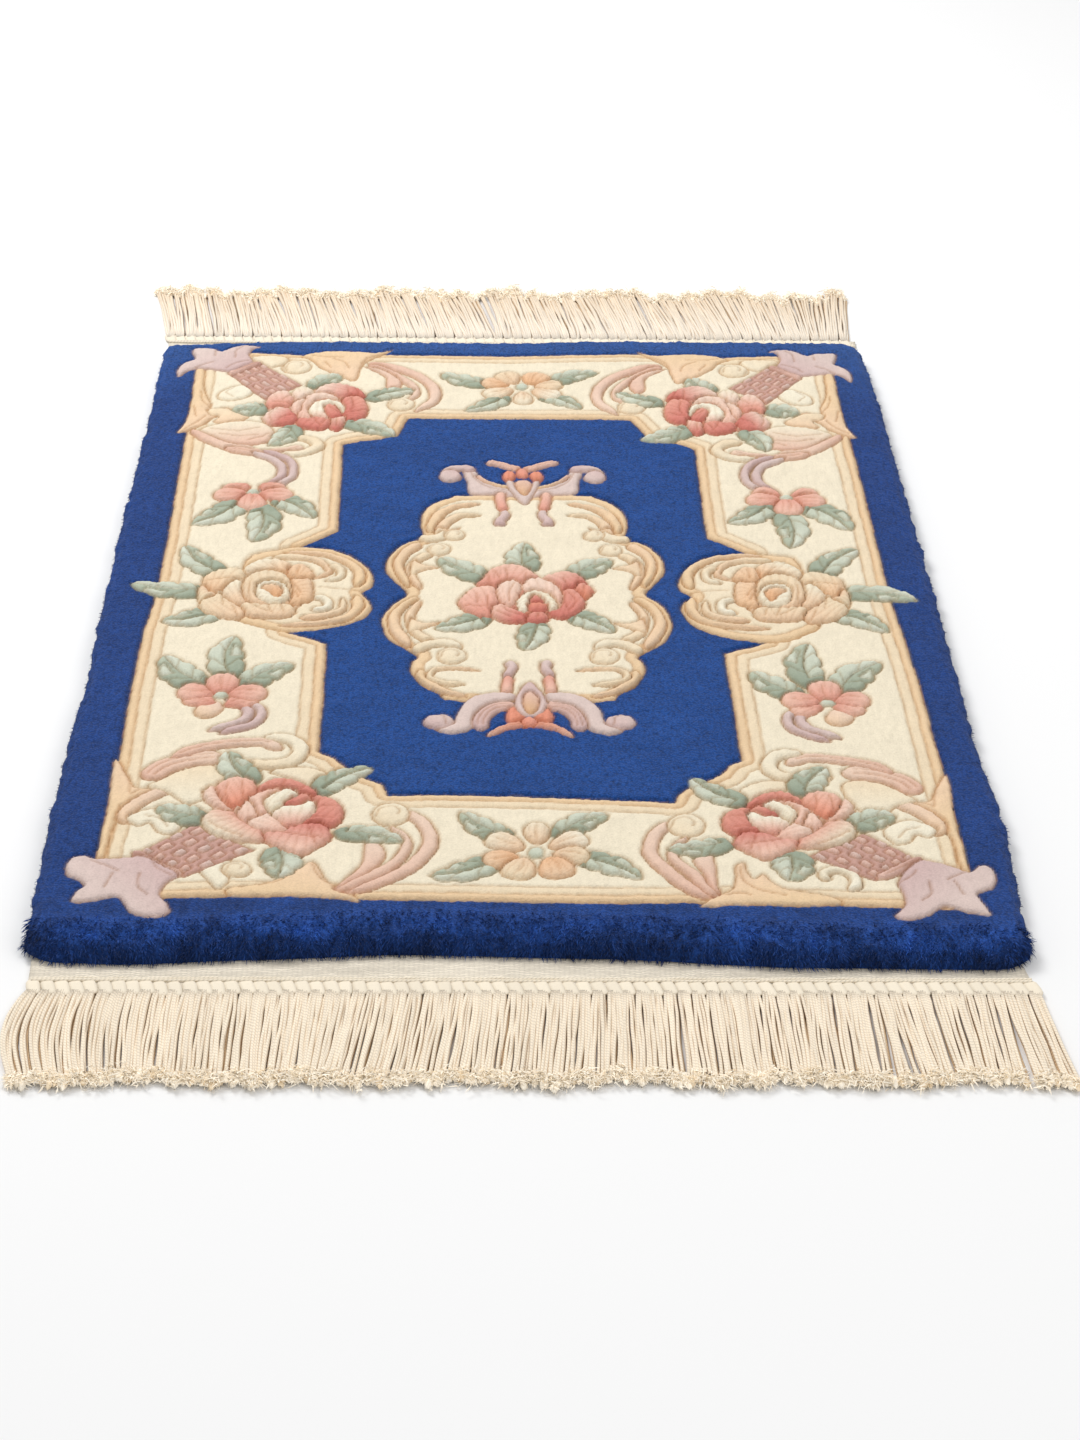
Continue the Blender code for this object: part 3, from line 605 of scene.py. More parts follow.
MAUVE_RIGHT = (
    (-226, -380), (-228, -391), (-229, -403), (-226, -411), (-220, -419), (-224, -425), (-232, -425),
    (-242, -420), (-249, -413), (-255, -409), (-263, -413), (-272, -417), (-284, -419), (-281, -405),
    (-278, -393), (-288, -387), (-293, -376), (-293, -365), (-289, -358), (-283, -359), (-276, -367),
    (-266, -360), (-253, -354), (-245, -352), (-235, -363))
CURL_RIGHT = (
    (-182, -376), (-178, -374), (-178, -369), (-184, -365), (-192, -366), (-198, -373), (-198, -383),
    (-192, -390))


def front_corner(spot, heart, mauve_points, leaf_points, leaf_folds, foot=0.0, curl=None):
    """Everything round a front corner's rose, read at the left corner."""
    shape("bands", spot, (
        (-278, -242), (-272, -247), (-266, -262), (-261, -275), (-255, -277), (-246, -274), (-252, -284),
        (-262, -298), (-267, -315), (-270, -330), (-272, -365), (-277, -366), (-276, -300)), TANS,
        run=((-275, -300), (-250, -276)), folds=(((-271, -250), (-265, -268), (-263, -284)), ((-262, -286),
        (-256, -280), (-248, -277)), ((-268, -300), (-270, -318))))
    band("scrolls", spot, (
        (-262, -321), (-263, -308), (-256, -295), (-244, -283), (-233, -272)), 11, ("peach", "pink_pale"))
    shape("scrolls", spot, (
        (-252, -276), (-236, -284), (-226, -296), (-214, -292), (-204, -276), (-202, -254), (-214, -248),
        (-232, -254), (-244, -266)), CREAMS, run=((-225, -290), (-225, -250)))
    band("scrolls", spot, ((-254, -266), (-244, -250), (-227, -240), (-203, -237)), 18, PINKS, lines=2)
    band("scrolls", spot, (
        (-240, -238), (-222, -226), (-198, -219), (-178, -218), (-165, -227)), 11, PINKS, lines=1)
    band("scrolls", spot, (
        (-178, -211), (-160, -214), (-152, -228), (-159, -243), (-177, -247), (-196, -243)), 12, CREAMS)
    shape("scrolls", spot, (
        (-172, -256), (-160, -250), (-146, -250), (-132, -258), (-128, -270), (-142, -274), (-158, -264)),
        CREAMS)
    shape("bands", spot, leaf_points, TANS, run=((-150, -405), (-135, -372)), folds=leaf_folds)
    band("scrolls", spot, (
        (-84, -302), (-67, -320), (-63, -345), (-75, -371), (-98 + foot * 0.5, -390), (-120 + foot, -399)),
        12, PALE_PINKS, taper=(0.8, 1.0))
    band("scrolls", spot, (
        (-90, -322), (-79, -338), (-79, -354), (-91, -373), (-109 + foot * 0.6, -388), (-123 + foot, -397)),
        11, PALE_PINKS, taper=(0.5, 1.1))
    shape("scrolls", spot, (
        (-104, -338), (-95, -344), (-91, -356), (-97, -371), (-110 + foot * 0.6, -386), (-124 + foot, -396),
        (-114 + foot * 0.5, -380), (-106, -366), (-105, -352)), PINKS, run=((-110, -385), (-98, -345)))
    ball(spot, (-89, -309), 14)
    shape("scrolls", spot, (
        (-262, -314), (-252, -304), (-238, -302), (-224, -315), (-230, -332), (-240, -330), (-246, -320),
        (-254, -324)), IVORIES, folds=(((-250, -312), (-240, -316), (-234, -326)),))
    if curl is None:
        shape("scrolls", spot, (
            (-209, -374), (-200, -363), (-190, -361), (-194, -374), (-190, -386), (-196, -396),
            (-204, -386)), IVORIES)
        ball(spot, (-186, -374), 9, squash=1.1)
    else:
        band("scrolls", spot, curl, 8, IVORIES, taper=(0.9, 1.1))
    quad = ((-253, -357), (-219, -383), (-176, -351), (-217, -320))
    basket(heart, quad)
    band("baskets", heart, (
        (-254, -354), (-238, -368), (-220, -381)), 9, ("basket", "basket_pale"), lines=1)
    shape("scrolls", spot, mauve_points, DEEP_MAUVES, run=(
        (-232, -370), (-268, -398)), soft=3, crown=1.0, folds=(((-279, -365), (-268, -372), (-260, -378)),
        ((-264, -380), (-268, -396)), ((-247, -380), (-247, -394), (-240, -404)), ((-240, -366),
        (-236, -374), (-226, -382))))
    leaf(heart, (-201, -229), (-179, -272), 25, pale_side=1)
    leaf(heart, (-102, -250 + foot * 0.3), (-141, -286 + foot * 0.3), 22, pale_side=-1)
    leaf(heart, (-243, -298), (-209, -314), 24, pale_side=-1)
    leaf(heart, (-80, -342), (-126, -333), 20, pale_side=1)
    leaf(heart, (-160, -384), (-163, -346), 28, pale_side=1)
    rose(heart, FRONT_ROSE)


# %% Back corners
def back_corner(spot):
    """Everything round a back corner's rose, read at the right corner."""
    shape("bands", spot, (
        (276, 397), (275, 330), (277, 290), (282, 271), (272, 276), (262, 285), (256, 296), (248, 306),
        (238, 316), (246, 321), (256, 316), (258, 330), (264, 350), (267, 372), (268, 397)), TANS,
        run=((276, 330), (250, 312)), folds=(((260, 302), (267, 288), (276, 277)), ((257, 318), (265, 332),
        (268, 352)), ((268, 300), (272, 322))))
    shape("scrolls", spot, (
        (225, 300), (232, 309), (244, 318), (259, 316), (257, 305), (249, 302), (253, 292), (246, 288),
        (235, 290)), WARM_PEACHES, run=((240, 290), (245, 316)))
    shape("scrolls", spot, (
        (204, 258), (201, 271), (208, 286), (222, 293), (240, 291), (255, 284), (263, 275), (256, 262),
        (240, 252), (222, 247), (210, 250)), ("pink", "cream"), run=((220, 248), (225, 290)),
        folds=(((214, 278), (232, 272), (254, 276)), ((214, 264), (230, 262), (246, 266)), ((206, 268),
        (212, 260), (222, 254))))
    band("scrolls", spot, ((270, 276), (255, 258), (236, 243), (214, 238)), 13, PINKS, taper=(0.7, 1.1))
    band("scrolls", spot, ((240, 240), (215, 233), (190, 236), (176, 244)), 12, PINKS, lines=1)
    band("scrolls", spot, ((200, 228), (176, 232), (164, 246), (172, 258), (186, 262)), 11, CREAMS)
    shape("bands", spot, (
        (108, 444), (122, 436), (136, 438), (158, 439), (178, 434), (187, 427), (178, 420), (170, 405),
        (160, 394), (150, 385), (140, 377), (136, 390), (133, 410), (124, 424)), TANS, run=((150, 436),
        (142, 395)), folds=(((116, 434), (128, 424), (134, 412)), ((144, 400), (148, 412), (158, 420)),
        ((150, 424), (166, 424), (178, 428)), ((160, 402), (166, 414))))
    band("scrolls", spot, (
        (86, 314), (71, 337), (71, 362), (84, 387), (106, 405), (128, 414)), 12, PALE_PINKS,
        taper=(0.8, 1.0))
    band("scrolls", spot, (
        (95, 334), (86, 348), (88, 365), (100, 384), (114, 398), (128, 409)), 11, PALE_PINKS,
        taper=(0.5, 1.1))
    shape("scrolls", spot, (
        (104, 356), (111, 364), (112, 384), (122, 398), (132, 408), (116, 400), (103, 386), (98, 370)),
        PINKS)
    ball(spot, (98, 328), 13)
    shape("scrolls", spot, (
        (226, 345), (224, 358), (232, 366), (243, 362), (252, 350), (252, 338), (243, 334), (234, 337)),
        IVORIES, folds=(((240, 360), (246, 350), (240, 340)),))
    ball(spot, (190, 404), 14)
    crease(spot.at(((194, 420), (202, 410), (198, 396))))
    shape("scrolls", spot, ((200, 412), (214, 402), (224, 414), (230, 424), (212, 428), (198, 424)), CREAMS)
    basket(spot, ((222, 413), (247, 390), (213, 337), (183, 368)))
    band("baskets", spot, ((221, 413), (234, 402), (247, 388)), 9, ("basket", "basket_pale"), lines=1)
    shape("scrolls", spot, (
        (223, 446), (230, 449), (240, 450), (248, 445), (257, 437), (264, 442), (281, 443), (282, 433),
        (279, 420), (286, 413), (292, 400), (290, 382), (284, 393), (275, 399), (262, 397), (248, 394),
        (238, 402), (228, 414), (232, 428), (230, 442)), DEEP_MAUVES, run=((236, 402), (270, 430)), soft=3,
        crown=1.0, folds=(((238, 446), (244, 436), (244, 422)), ((262, 437), (262, 424)), ((262, 412),
        (271, 406), (277, 400)), ((232, 416), (244, 408), (250, 400))))
    leaf(spot, (150, 388), (172, 358), 25, pale_side=-1)
    leaf(spot, (86, 358), (127, 336), 22, pale_side=1)
    leaf(spot, (102, 265), (147, 290), 24, pale_side=-1)
    leaf(spot, (205, 245), (186, 286), 23, pale_side=1)
    leaf(spot, (240, 318), (208, 321), 26, pale_side=1)
    rose(spot, BACK_ROSE)


FRONT_HOME = (-160, -307)
left_heart = Spot(-160, -307, home=FRONT_HOME)
right_heart = Spot(166.5, -317, -0.95, 0.89, home=FRONT_HOME)
front_corner(left_heart, left_heart, MAUVE_LEFT, LEAF_LEFT, FOLDS_LEFT)
front_corner(Spot(173, -319, -0.955, 0.93, home=FRONT_HOME), right_heart, MAUVE_RIGHT, LEAF_RIGHT,
    FOLDS_RIGHT, foot=18.0, curl=CURL_RIGHT)
back_corner(Spot(168, 322, home=(168, 322)))
back_corner(Spot(-166, 325, -1.0, 0.99, home=(168, 322)))

# %% [markdown]
# ## Sprays and end flowers
# Half way along the cream border a coral flower with three leaves leans from each corner group, on a mauve
# stalk. In the middle of each short side lies an open peach flower with a sage centre.

# %% Sprays
SPRAY_SPOTS = (
    # where the flower is, its directions, and how long its stalk is
    {"x": -211, "y": -151, "out": -1, "away": -1, "stalk": 52},
    {"x": 213, "y": -158, "out": 1, "away": -1, "stalk": 52},
    {"x": -209, "y": 161, "out": -1, "away": 1, "stalk": 76},
    {"x": 213, "y": 156, "out": 1, "away": 1, "stalk": 76},
)


def spray(x, y, out, away, stalk):
    """A coral flower with three leaves towards the rug's middle and a stalk towards the corner."""
    spot = Spot(x, y, out, away)
    band("scrolls", spot, ((-3, 7), (-19, 0.42 * stalk), (-16, 0.75 * stalk), (6, stalk)), 9, DEEP_MAUVES)
    band("scrolls", spot, ((-9, 7), (-28, 0.42 * stalk), (-25, 0.8 * stalk), (-2, stalk + 4)), 8, MAUVES)
    leaf(spot, (46, -53), (10, -8), 28, pale_side=-1)
    leaf(spot, (-4, -82), (-6, -18), 27)
    leaf(spot, (-49, -41), (-14, -6), 25)
    if away < 0:
        knot("scrolls", oval(spot.at((8, 23)), 25, 19, 60), ("peach", "rose_pale"), crown=1.8)
    up = 90 if away < 0 else -90
    flat = 0 if out > 0 else 180
    for place, degrees, size in (
        ((15, 10), flat - up * 0.35, 25), ((-14, 11), 180 - flat + up * 0.35, 25),
        ((18, -1), flat, 29), ((-17, 0), 180 - flat, 29), ((1, -12), up, 30),
    ):
        petal("roses", spot.at(place), size, size * 0.78, degrees, FADED_ROSES, crown=1.9)
    knot("leaves", oval(spot.at((1, 4)), 11, 9), ("leaf_pale", "leaf"), groove=1.8, reach=2.2, crown=1.2,
        dome=5)


for row in SPRAY_SPOTS:
    spray(**row)

# %% End flowers
END_FLOWERS = ({"x": 5, "y": 366, "away": 1}, {"x": 5, "y": -351, "away": -1})
END_PETALS = (
    # place, direction from straight on, length, width, shades
    {"place": (2, -20), "turn": 180, "size": (26, 17), "yarns": ("peach", "cream")},
    {"place": (-19, -9), "turn": 120, "size": (28, 21), "yarns": ("peach", "cream")},
    {"place": (22, -10), "turn": -120, "size": (28, 21), "yarns": ("peach", "ivory")},
    {"place": (-22, 10), "turn": 70, "size": (24, 20), "yarns": ("apricot", "peach")},
    {"place": (24, 6), "turn": -80, "size": (24, 20), "yarns": WARM_PEACHES},
    {"place": (-10, 21), "turn": 20, "size": (26, 22), "yarns": WARM_PEACHES},
    {"place": (13, 20), "turn": -20, "size": (26, 24), "yarns": ("apricot", "peach")},
)
for row in END_FLOWERS:
    spot = Spot(row["x"], row["y"], 1, row["away"])
    leaf(spot, (-48, -46), (-12, -14), 21)
    leaf(spot, (50, -42), (14, -14), 21, pale_side=-1)
    leaf(spot, (-68, 30), (-22, 8), 23, pale_side=-1)
    leaf(spot, (68, 33), (24, 8), 22)
    for part in END_PETALS:
        degrees = 90 * row["away"] + part["turn"] * row["away"]
        petal("roses", spot.at(part["place"]), *part["size"], degrees, part["yarns"])
    knot("leaves", oval(spot.at((1, 3)), 14, 11, 80), ("leaf", "leaf_pale"), groove=1.8, reach=2.2,
        crown=0.6, dome=5)

# %% [markdown]
# ## The medallions
# The middle medallion is a cream cloud with a scrolled tan rim. Its two halves are nearly mirrored, so only
# the right half is charted. Crests of mauve scrolls and a coral bow stand on its ends. The two side
# medallions are halves of a smaller cloud that a pale rose joins to the border.

# %% Middle medallion
MIDDLE = Spot(4.5, 0)
MIDDLE_HALF = (
    (46, 163), (57, 159), (66, 153), (74, 144), (79, 132), (81, 115), (79, 100), (77, 88), (86, 84),
    (95, 77), (103, 62), (106, 45), (104, 30), (98, 18), (89, -1), (98, -14), (104, -28), (107, -46),
    (104, -62), (98, -76), (80, -95), (83, -104), (84, -116), (80, -128), (74, -140), (63, -150),
    (48, -160))
RIM_BAND = 9.5


def medallion_side(hand):
    """The leafy scrolls in one side of the middle medallion: two bands in each lobe, and the curls."""
    side = Spot(MIDDLE.middle[0], 0, hand, 1)
    for path, width, yarns, taper in (
        # the upper end
        (((35, 147), (54, 140), (67, 125), (73, 97)), 11, PEACHES, (0.5, 1.1)),
        (((34, 127), (50, 125), (61, 113), (66, 96)), 10, PALE_PEACHES, (0.5, 1.1)),
        # the upper side lobe
        (((80, 78), (92, 62), (96, 40), (88, 8)), 11, PEACHES, (1.0, 0.6)),
        (((72, 62), (83, 50), (87, 32), (79, 4)), 10, PALE_PEACHES, (1.0, 0.6)),
        # the lower side lobe
        (((80, -8), (93, -24), (98, -50), (86, -84)), 11, TANS, (0.6, 1.0)),
        (((78, -14), (86, -36), (82, -62), (68, -78)), 10, WARM_PEACHES, (0.6, 1.0)),
        # the lower end
        (((77, -118), (72, -134), (60, -147), (44, -155)), 11, TANS, (1.0, 0.5)),
        (((34, -118), (50, -115), (66, -117), (70, -128), (60, -136), (46, -138)), 10, WARM_PEACHES,
         (0.4, 0.7)),
    ):
        band("bands", side, path, width, yarns, taper=taper)
    for outline in (((86, 50), (78, 44), (66, 39), (78, 34), (87, 25)),
                    ((86, -42), (76, -48), (64, -46), (76, -57), (87, -62)),
                    ((68, 104), (58, 102), (50, 106), (58, 96), (68, 92))):
        shape("bands", side, outline, PALE_PEACHES)
    band("scrolls", side, ((82, 88), (72, 86), (64, 90), (58, 98)), 11, WARM_CREAMS)
    ball(side, (54, 92), 9)
    ball(side, (66, 68), 10)
    band("scrolls", side, ((82, -92), (74, -82), (60, -78), (48, -86)), 11, WARM_CREAMS)
    ball(side, (55, -97), 12)


half = np.array(MIDDLE_HALF, float)
cloud = smooth_loop(MIDDLE.at(np.concatenate([half, (half * (-1, 1))[::-1]])), 3)
knot("bands", cloud, ("tan", "tan"), **FULL)
knot("medallions", cloud, ("cream", "cream"), offset=-RIM_BAND, **FINE)
for hand in (1, -1):
    medallion_side(hand)

# %% Crests on the middle medallion
for hand in (1, -1):
    side = Spot(MIDDLE.middle[0], 0, hand, 1)
    shape("scrolls", side, (
        (2, 160), (24, 162), (42, 165), (45, 186), (48, 207), (40, 210), (34, 196), (26, 186), (14, 180),
        (4, 180)), ("mauve", "mauve"), folds=(((42, 204), (36, 184), (24, 172), (8, 168)),))
    band("bands", side, ((37, 198), (30, 186), (18, 177), (8, 175)), 5, ("basket_pale", "tan"))
    band("scrolls", side, ((38, 206), (48, 210), (58, 207), (62, 198)), 11, DEEP_MAUVES)
    knot("scrolls", oval(side.at((58, 195)), 22, 19, 90), MAUVES, crown=1.8)
    band("scrolls", side, ((16, 136), (15, 126), (19, 116), (17, 108)), 9, MAUVES, taper=(0.8, 1.1))
    band("scrolls", side, ((18, 166), (18, 152), (16, 134)), 9, ("rose_light", "rose_mid"))
    band("roses", side, (
        (0, 208), (9, 211), (18, 217), (30, 222)), 9, ("rose_light", "basket_pale"), lines=1)
    petal("roses", side.at((11, 195)), 20, 11, 90, ("coral", "coral"), folds=0)
    band("scrolls", side, (
        (64, -186), (56, -198), (46, -193), (42, -174), (32, -160), (8, -153)), 14, ("mauve", "mauve"),
        taper=(1.0, 1.2))
    knot("scrolls", oval(side.at((63, -189)), 20, 22, 90), DEEP_MAUVES, crown=1.8)
    crease(side.at(((68, -182), (60, -184), (58, -194))))
    band("bands", side, (
        (35, -201), (33, -184), (25, -171), (8, -166)), 12, ("mauve_deep", "basket_pale"), lines=2)
    band("scrolls", side, ((14, -104), (12, -114), (15, -124), (14, -130)), 8, MAUVES, taper=(1.2, 0.8))
    band("scrolls", side, ((14, -126), (15, -138), (16, -150)), 8.5, FADED_ROSES)
    petal("roses", side.at((10, -181)), 24, 14, -100 if hand > 0 else -80, ("coral", "coral"), folds=0)
    band("roses", side, (
        (0, -191), (10, -194), (20, -199), (30, -209)), 9, ("coral", "rose_light"), taper=(1.0, 0.6),
        lines=1)
knot("roses", oval(MIDDLE.at((0, 201)), 18, 11, 90), ("coral", "rose_mid"), crown=1.6)
shape("scrolls", MIDDLE, (
    (-13, 188), (0, 184), (13, 188), (9, 166), (1, 145), (-9, 166)), ("mauve", "mauve"))
shape("bands", MIDDLE, (
    (-6, 186), (0, 189), (7, 186), (6, 174), (1, 160), (-5, 174)), ("tan_deep", "basket_pale"), crown=0.6)
shape("scrolls", MIDDLE, (
    (-11, -166), (-7, -146), (1, -133), (9, -146), (13, -166), (7, -180), (-5, -180)), MAUVES)
knot("bands", oval(MIDDLE.at((1, -163)), 31, 12, 90), ("tan_deep", "basket_pale"), crown=0.8)
knot("roses", oval(MIDDLE.at((0, -189)), 14, 11, 90), ("coral", "rose_mid"), crown=1.6)

# %% The middle rose and its leaves
for tip, foot, width, pale in (
    ((1, 80), (1, 30), 27, 1), ((-66, 55), (-26, 20), 26, -1), ((67, 52), (34, 22), 26, 1),
    ((-68, -57), (-28, -36), 24, 1), ((64, -62), (30, -34), 24, -1), ((-3, -88), (6, -44), 24, 1),
):
    leaf(MIDDLE, tip, foot, width, bend=0.06, pale_side=pale)
rose(HERE, MIDDLE_ROSE)

# %% Side medallions
SIDE_HALF = {
    "left": (
        (-208, 50), (-186, 68), (-167, 73), (-146, 70), (-136, 64), (-127, 57), (-116, 42), (-110, 22),
        (-112, 8), (-118, 0), (-112, -14), (-111, -28), (-118, -42), (-140, -55), (-170, -61), (-195, -52),
        (-215, -30)),
    "right": (
        (214, 50), (196, 62), (178, 65), (160, 64), (148, 60), (138, 54), (126, 38), (119.5, 18), (121, 4),
        (128, -5), (121, -14), (119.5, -28), (126, -47), (141, -62), (162, -71), (186, -74), (206, -64),
        (222, -40)),
}


def side_medallion(outline, middle, out):
    """Half a cloud with curls inside and a pale rose that joins it to the border."""
    loop = smooth_loop(outline, 4)
    knot("bands", loop, ("tan", "tan"), **FULL)
    knot("medallions", loop, WARM_CREAMS, offset=-RIM_BAND, **FINE)
    spot = Spot(middle[0], middle[1], out, 1)
    for path, width, yarns, taper in (
        (((-10, 62), (-38, 60), (-58, 48), (-69, 30), (-68, 8)), 10, PEACHES, (0.6, 1.0)),
        (((-34, 20), (-46, 30), (-40, 46), (-24, 54), (-2, 54)), 10, WARM_PEACHES, (0.4, 1.0)),
        (((-44, 16), (-54, 22), (-54, 36), (-46, 42)), 9, CREAMS, (0.6, 1.0)),
        (((-68, -6), (-69, -26), (-60, -42), (-40, -50), (-14, -53)), 10, TANS, (1.0, 0.6)),
        (((-58, -10), (-58, -28), (-46, -38), (-28, -42)), 9, PALE_PEACHES, (0.6, 1.0)),
        (((-36, -8), (-46, -14), (-46, -26), (-36, -30)), 10, IVORIES, (0.8, 0.8)),
    ):
        band("bands", spot, path, width, yarns, taper=taper)
    crease(spot.at(((-74, 0), (-58, 4), (-40, 6))))
    leaf(spot, (66, 74), (30, 24), 25, pale_side=-1)
    leaf(spot, (102, 12 if out < 0 else -8), (38, 0), 24)
    leaf(spot, (74, -58 if out > 0 else -48), (30, -28), 24, pale_side=-1)
    rose(Spot(middle[0], middle[1], -out, 1, home=(-190, 0)), SIDE_ROSE)


side_medallion(SIDE_HALF["left"], (-190, 0), -1)
side_medallion(SIDE_HALF["right"], (196, -2), 1)
print(len(CHART), "outlines and creases on the chart")

# %% [markdown]
# ## From chart to wool
# A point of the pile asks the chart two things: what colour is the yarn here, and how deep did the carver
# clip. Both follow from the distance to each outline. A motif covers what was charted before it, and its
# edge is a groove on both sides. Inside, the pile stands a little higher towards the middle of the motif,
# because the shears round it off. Working with distances keeps the curves clean at any mesh size, whereas
# cutting hundreds of real grooves with Booleans would be slow and would leave slivers.

# %% Distances
def segments_of(outline, closed):
    ends = np.roll(outline, -1, 0) if closed else outline[1:]
    starts = outline if closed else outline[:-1]
    return starts, ends - starts


def distance_to(points, outline, closed=True):
    """How far the points are from an outline, and less than nothing inside it."""
    starts, runs = segments_of(outline, closed)
    lengths = np.maximum((runs ** 2).sum(axis=1), 1e-9)
    far = np.empty(len(points))
    inside = np.zeros(len(points), bool)
    chunk = max(1, 4_000_000 // len(starts))
    for first in range(0, len(points), chunk):
        p = points[first:first + chunk]
        dx = p[:, None, 0] - starts[None, :, 0]
        dy = p[:, None, 1] - starts[None, :, 1]
        share = np.clip((dx * runs[:, 0] + dy * runs[:, 1]) / lengths, 0, 1)
        square = (dx - share * runs[:, 0]) ** 2 + (dy - share * runs[:, 1]) ** 2
        far[first:first + chunk] = np.sqrt(square.min(axis=1))
        if closed:
            rises = runs[:, 1]
            low = dy >= 0
            high = dy - rises >= 0
            crosses = low != high
            at = dx * rises - dy * runs[:, 0]
            hit = crosses & np.where(rises > 0, at < 0, at > 0)
            inside[first:first + chunk] = hit.sum(axis=1) % 2 == 1
    return np.where(inside, -far, far)


# %% Weaving
PIECE_NAMES = {
    "margin": "blue_margin", "bands": "tan_outlines", "ground": "cream_ground", "field": "blue_field",
    "medallions": "medallion_grounds", "scrolls": "scrolls_and_curls", "baskets": "woven_baskets",
    "leaves": "leaves", "roses": "petals",
}
PIECES = tuple(PIECE_NAMES)
EDGE_SOFT = 0.9
LINE_WIDE = 0.9


def pleats(points, foot, run, pitch):
    """Narrow folds that fan out along run from a little before its foot: 1 in a fold and 0 between."""
    reach = max(float(np.hypot(*run)), 1e-6)
    ahead, aside = (points - foot) @ run / reach + 0.8 * reach, (points - foot) @ (-run[1], run[0]) / reach
    turn = np.arctan2(aside, ahead) * 1.4 * reach / pitch
    return (0.5 + 0.5 * np.cos(2 * np.pi * turn)) ** 5


def weave(points):
    """The yarn colour, clipped depth, crown, strength of the painted shadow along clipped lines and folds,
    and piece at each point.
    """
    count = len(points)
    colour = np.tile(YARN_LIGHT["blue_deep"], (count, 1))
    cut, crown, line = np.zeros((3, count))
    piece = np.zeros(count, int)
    for item in CHART:
        outline = item["outline"]
        closed = item["piece"] is not None
        offset = item["offset"] if closed else 0.0
        margin = item["reach"] + max(offset, 0.0) + 1.0
        low, high = outline.min(axis=0) - margin, outline.max(axis=0) + margin
        near = np.flatnonzero(((points > low) & (points < high)).all(axis=1))
        if not len(near):
            continue
        far = distance_to(points[near], outline, closed) - offset
        groove = item["groove"] * np.clip(1 - np.abs(far) / item["reach"], 0, 1) ** 1.7
        # Painted shadow along the clipped outline, which later darkens the colour over the real groove
        line_shadow = np.exp(-(far / LINE_WIDE) ** 2) * min(1, item["groove"] / 2.2)
        if not closed:
            cut[near] = np.maximum(cut[near], groove)
            line[near] = np.maximum(line[near], line_shadow)
            continue
        cover = np.clip(0.5 - far / (2 * EDGE_SOFT), 0, 1)[:, None]
        run = item["run"][1] - item["run"][0]
        share = np.clip((points[near] - item["run"][0]) @ run / max(run @ run, 1e-9), 0, 1)[:, None]
        first, last = YARN_LIGHT[item["yarns"][0]], YARN_LIGHT[item["yarns"][1]]
        colour[near] += (first + (last - first) * share - colour[near]) * cover
        within = far < 0
        cut[near] = np.where(within, groove, np.maximum(cut[near], groove))
        line[near] = np.where(within, line_shadow, np.maximum(line[near], line_shadow))
        rise = item["crown"] * (1 - (1 - np.clip(-far / item["dome"], 0, 1)) ** 2)
        if item["pleat"]:
            fold = pleats(points[near], item["run"][0], run, item["pleat"]) * np.clip(-far / 3, 0, 1)
            rise = rise - 0.45 * fold
            # Painted shade in each fold of a petal, as well as the real dip
            line[near] = np.where(within, np.maximum(line[near], 0.38 * fold), line[near])
        crown[near] = np.where(within, rise, crown[near])
        piece[near[within]] = PIECES.index(item["piece"])
    return colour, cut, crown, line, piece


# %% [markdown]
# ## The shape of the pile
# The pile is one soft slab whose rim rolls down to the floor: 12 mm rounded corners, nearly upright sides,
# and a longer slope in front, where the tufts fall forward. It could be a box with a bevel and a sculpted
# top. Here a flat grid is wrapped over it instead, so that the yarns keep their size from the middle of the
# top down to the floor, and so that one map serves the colours, the relief and the export.

# %% Wrapping the grid
CORE = {"side": 286.0, "front": -423.5, "back": 434.5}
CORE_ROUND = 12.0
RIM = {
    # how far in, and how high, from the top of the pile down to its foot
    "side": ((7.0, PILE_TOP), (1.5, 13.2), (0.0, 8.0), (2.0, PILE_FOOT)),
    "front": ((22.0, PILE_TOP), (10.0, 13.2), (2.5, 8.0), (0.0, PILE_FOOT)),
    "back": ((11.0, PILE_TOP), (5.0, 13.2), (2.0, 8.0), (0.0, PILE_FOOT)),
}


def rim_line(side):
    rows = smooth_path(RIM[side], 8)
    run = np.concatenate([[0], np.cumsum(np.linalg.norm(np.diff(rows, axis=0), axis=1))])
    return {"share": run / run[-1], "out": rows[0, 0] - rows[:, 0], "high": rows[:, 1], "length": run[-1]}


RIM_LINES = {side: rim_line(side) for side in RIM}


def wrap(flat_x, flat_y):
    """Where a point of the flat grid lies on the rug, and how far down the rim it is, as a share."""
    core_x = np.clip(flat_x, -CORE["side"], CORE["side"])
    core_y = np.clip(flat_y, CORE["front"], CORE["back"])
    dx, dy = flat_x - core_x, flat_y - core_y
    far = np.hypot(dx, dy)
    nx, ny = dx / np.maximum(far, 1e-9), dy / np.maximum(far, 1e-9)
    weights = {"side": nx ** 2, "front": np.where(ny < 0, ny ** 2, 0), "back": np.where(ny > 0, ny ** 2, 0)}
    length = sum(weights[side] * RIM_LINES[side]["length"] for side in RIM)
    share = (far - CORE_ROUND) / np.maximum(length, 1.0)
    held = np.clip(share, 0, 1)
    out = sum(weights[s] * np.interp(held, RIM_LINES[s]["share"], RIM_LINES[s]["out"]) for s in RIM)
    high = sum(weights[s] * np.interp(held, RIM_LINES[s]["share"], RIM_LINES[s]["high"]) for s in RIM)
    reach = np.where(share > 0, CORE_ROUND + out, far)
    reach = reach * np.maximum(np.maximum(np.abs(nx), np.abs(ny)), 0.7) ** -0.5
    place = laid(np.stack([core_x + nx * reach, core_y + ny * reach], axis=1))
    return np.column_stack([place, np.where(share > 0, high, PILE_TOP)]), share


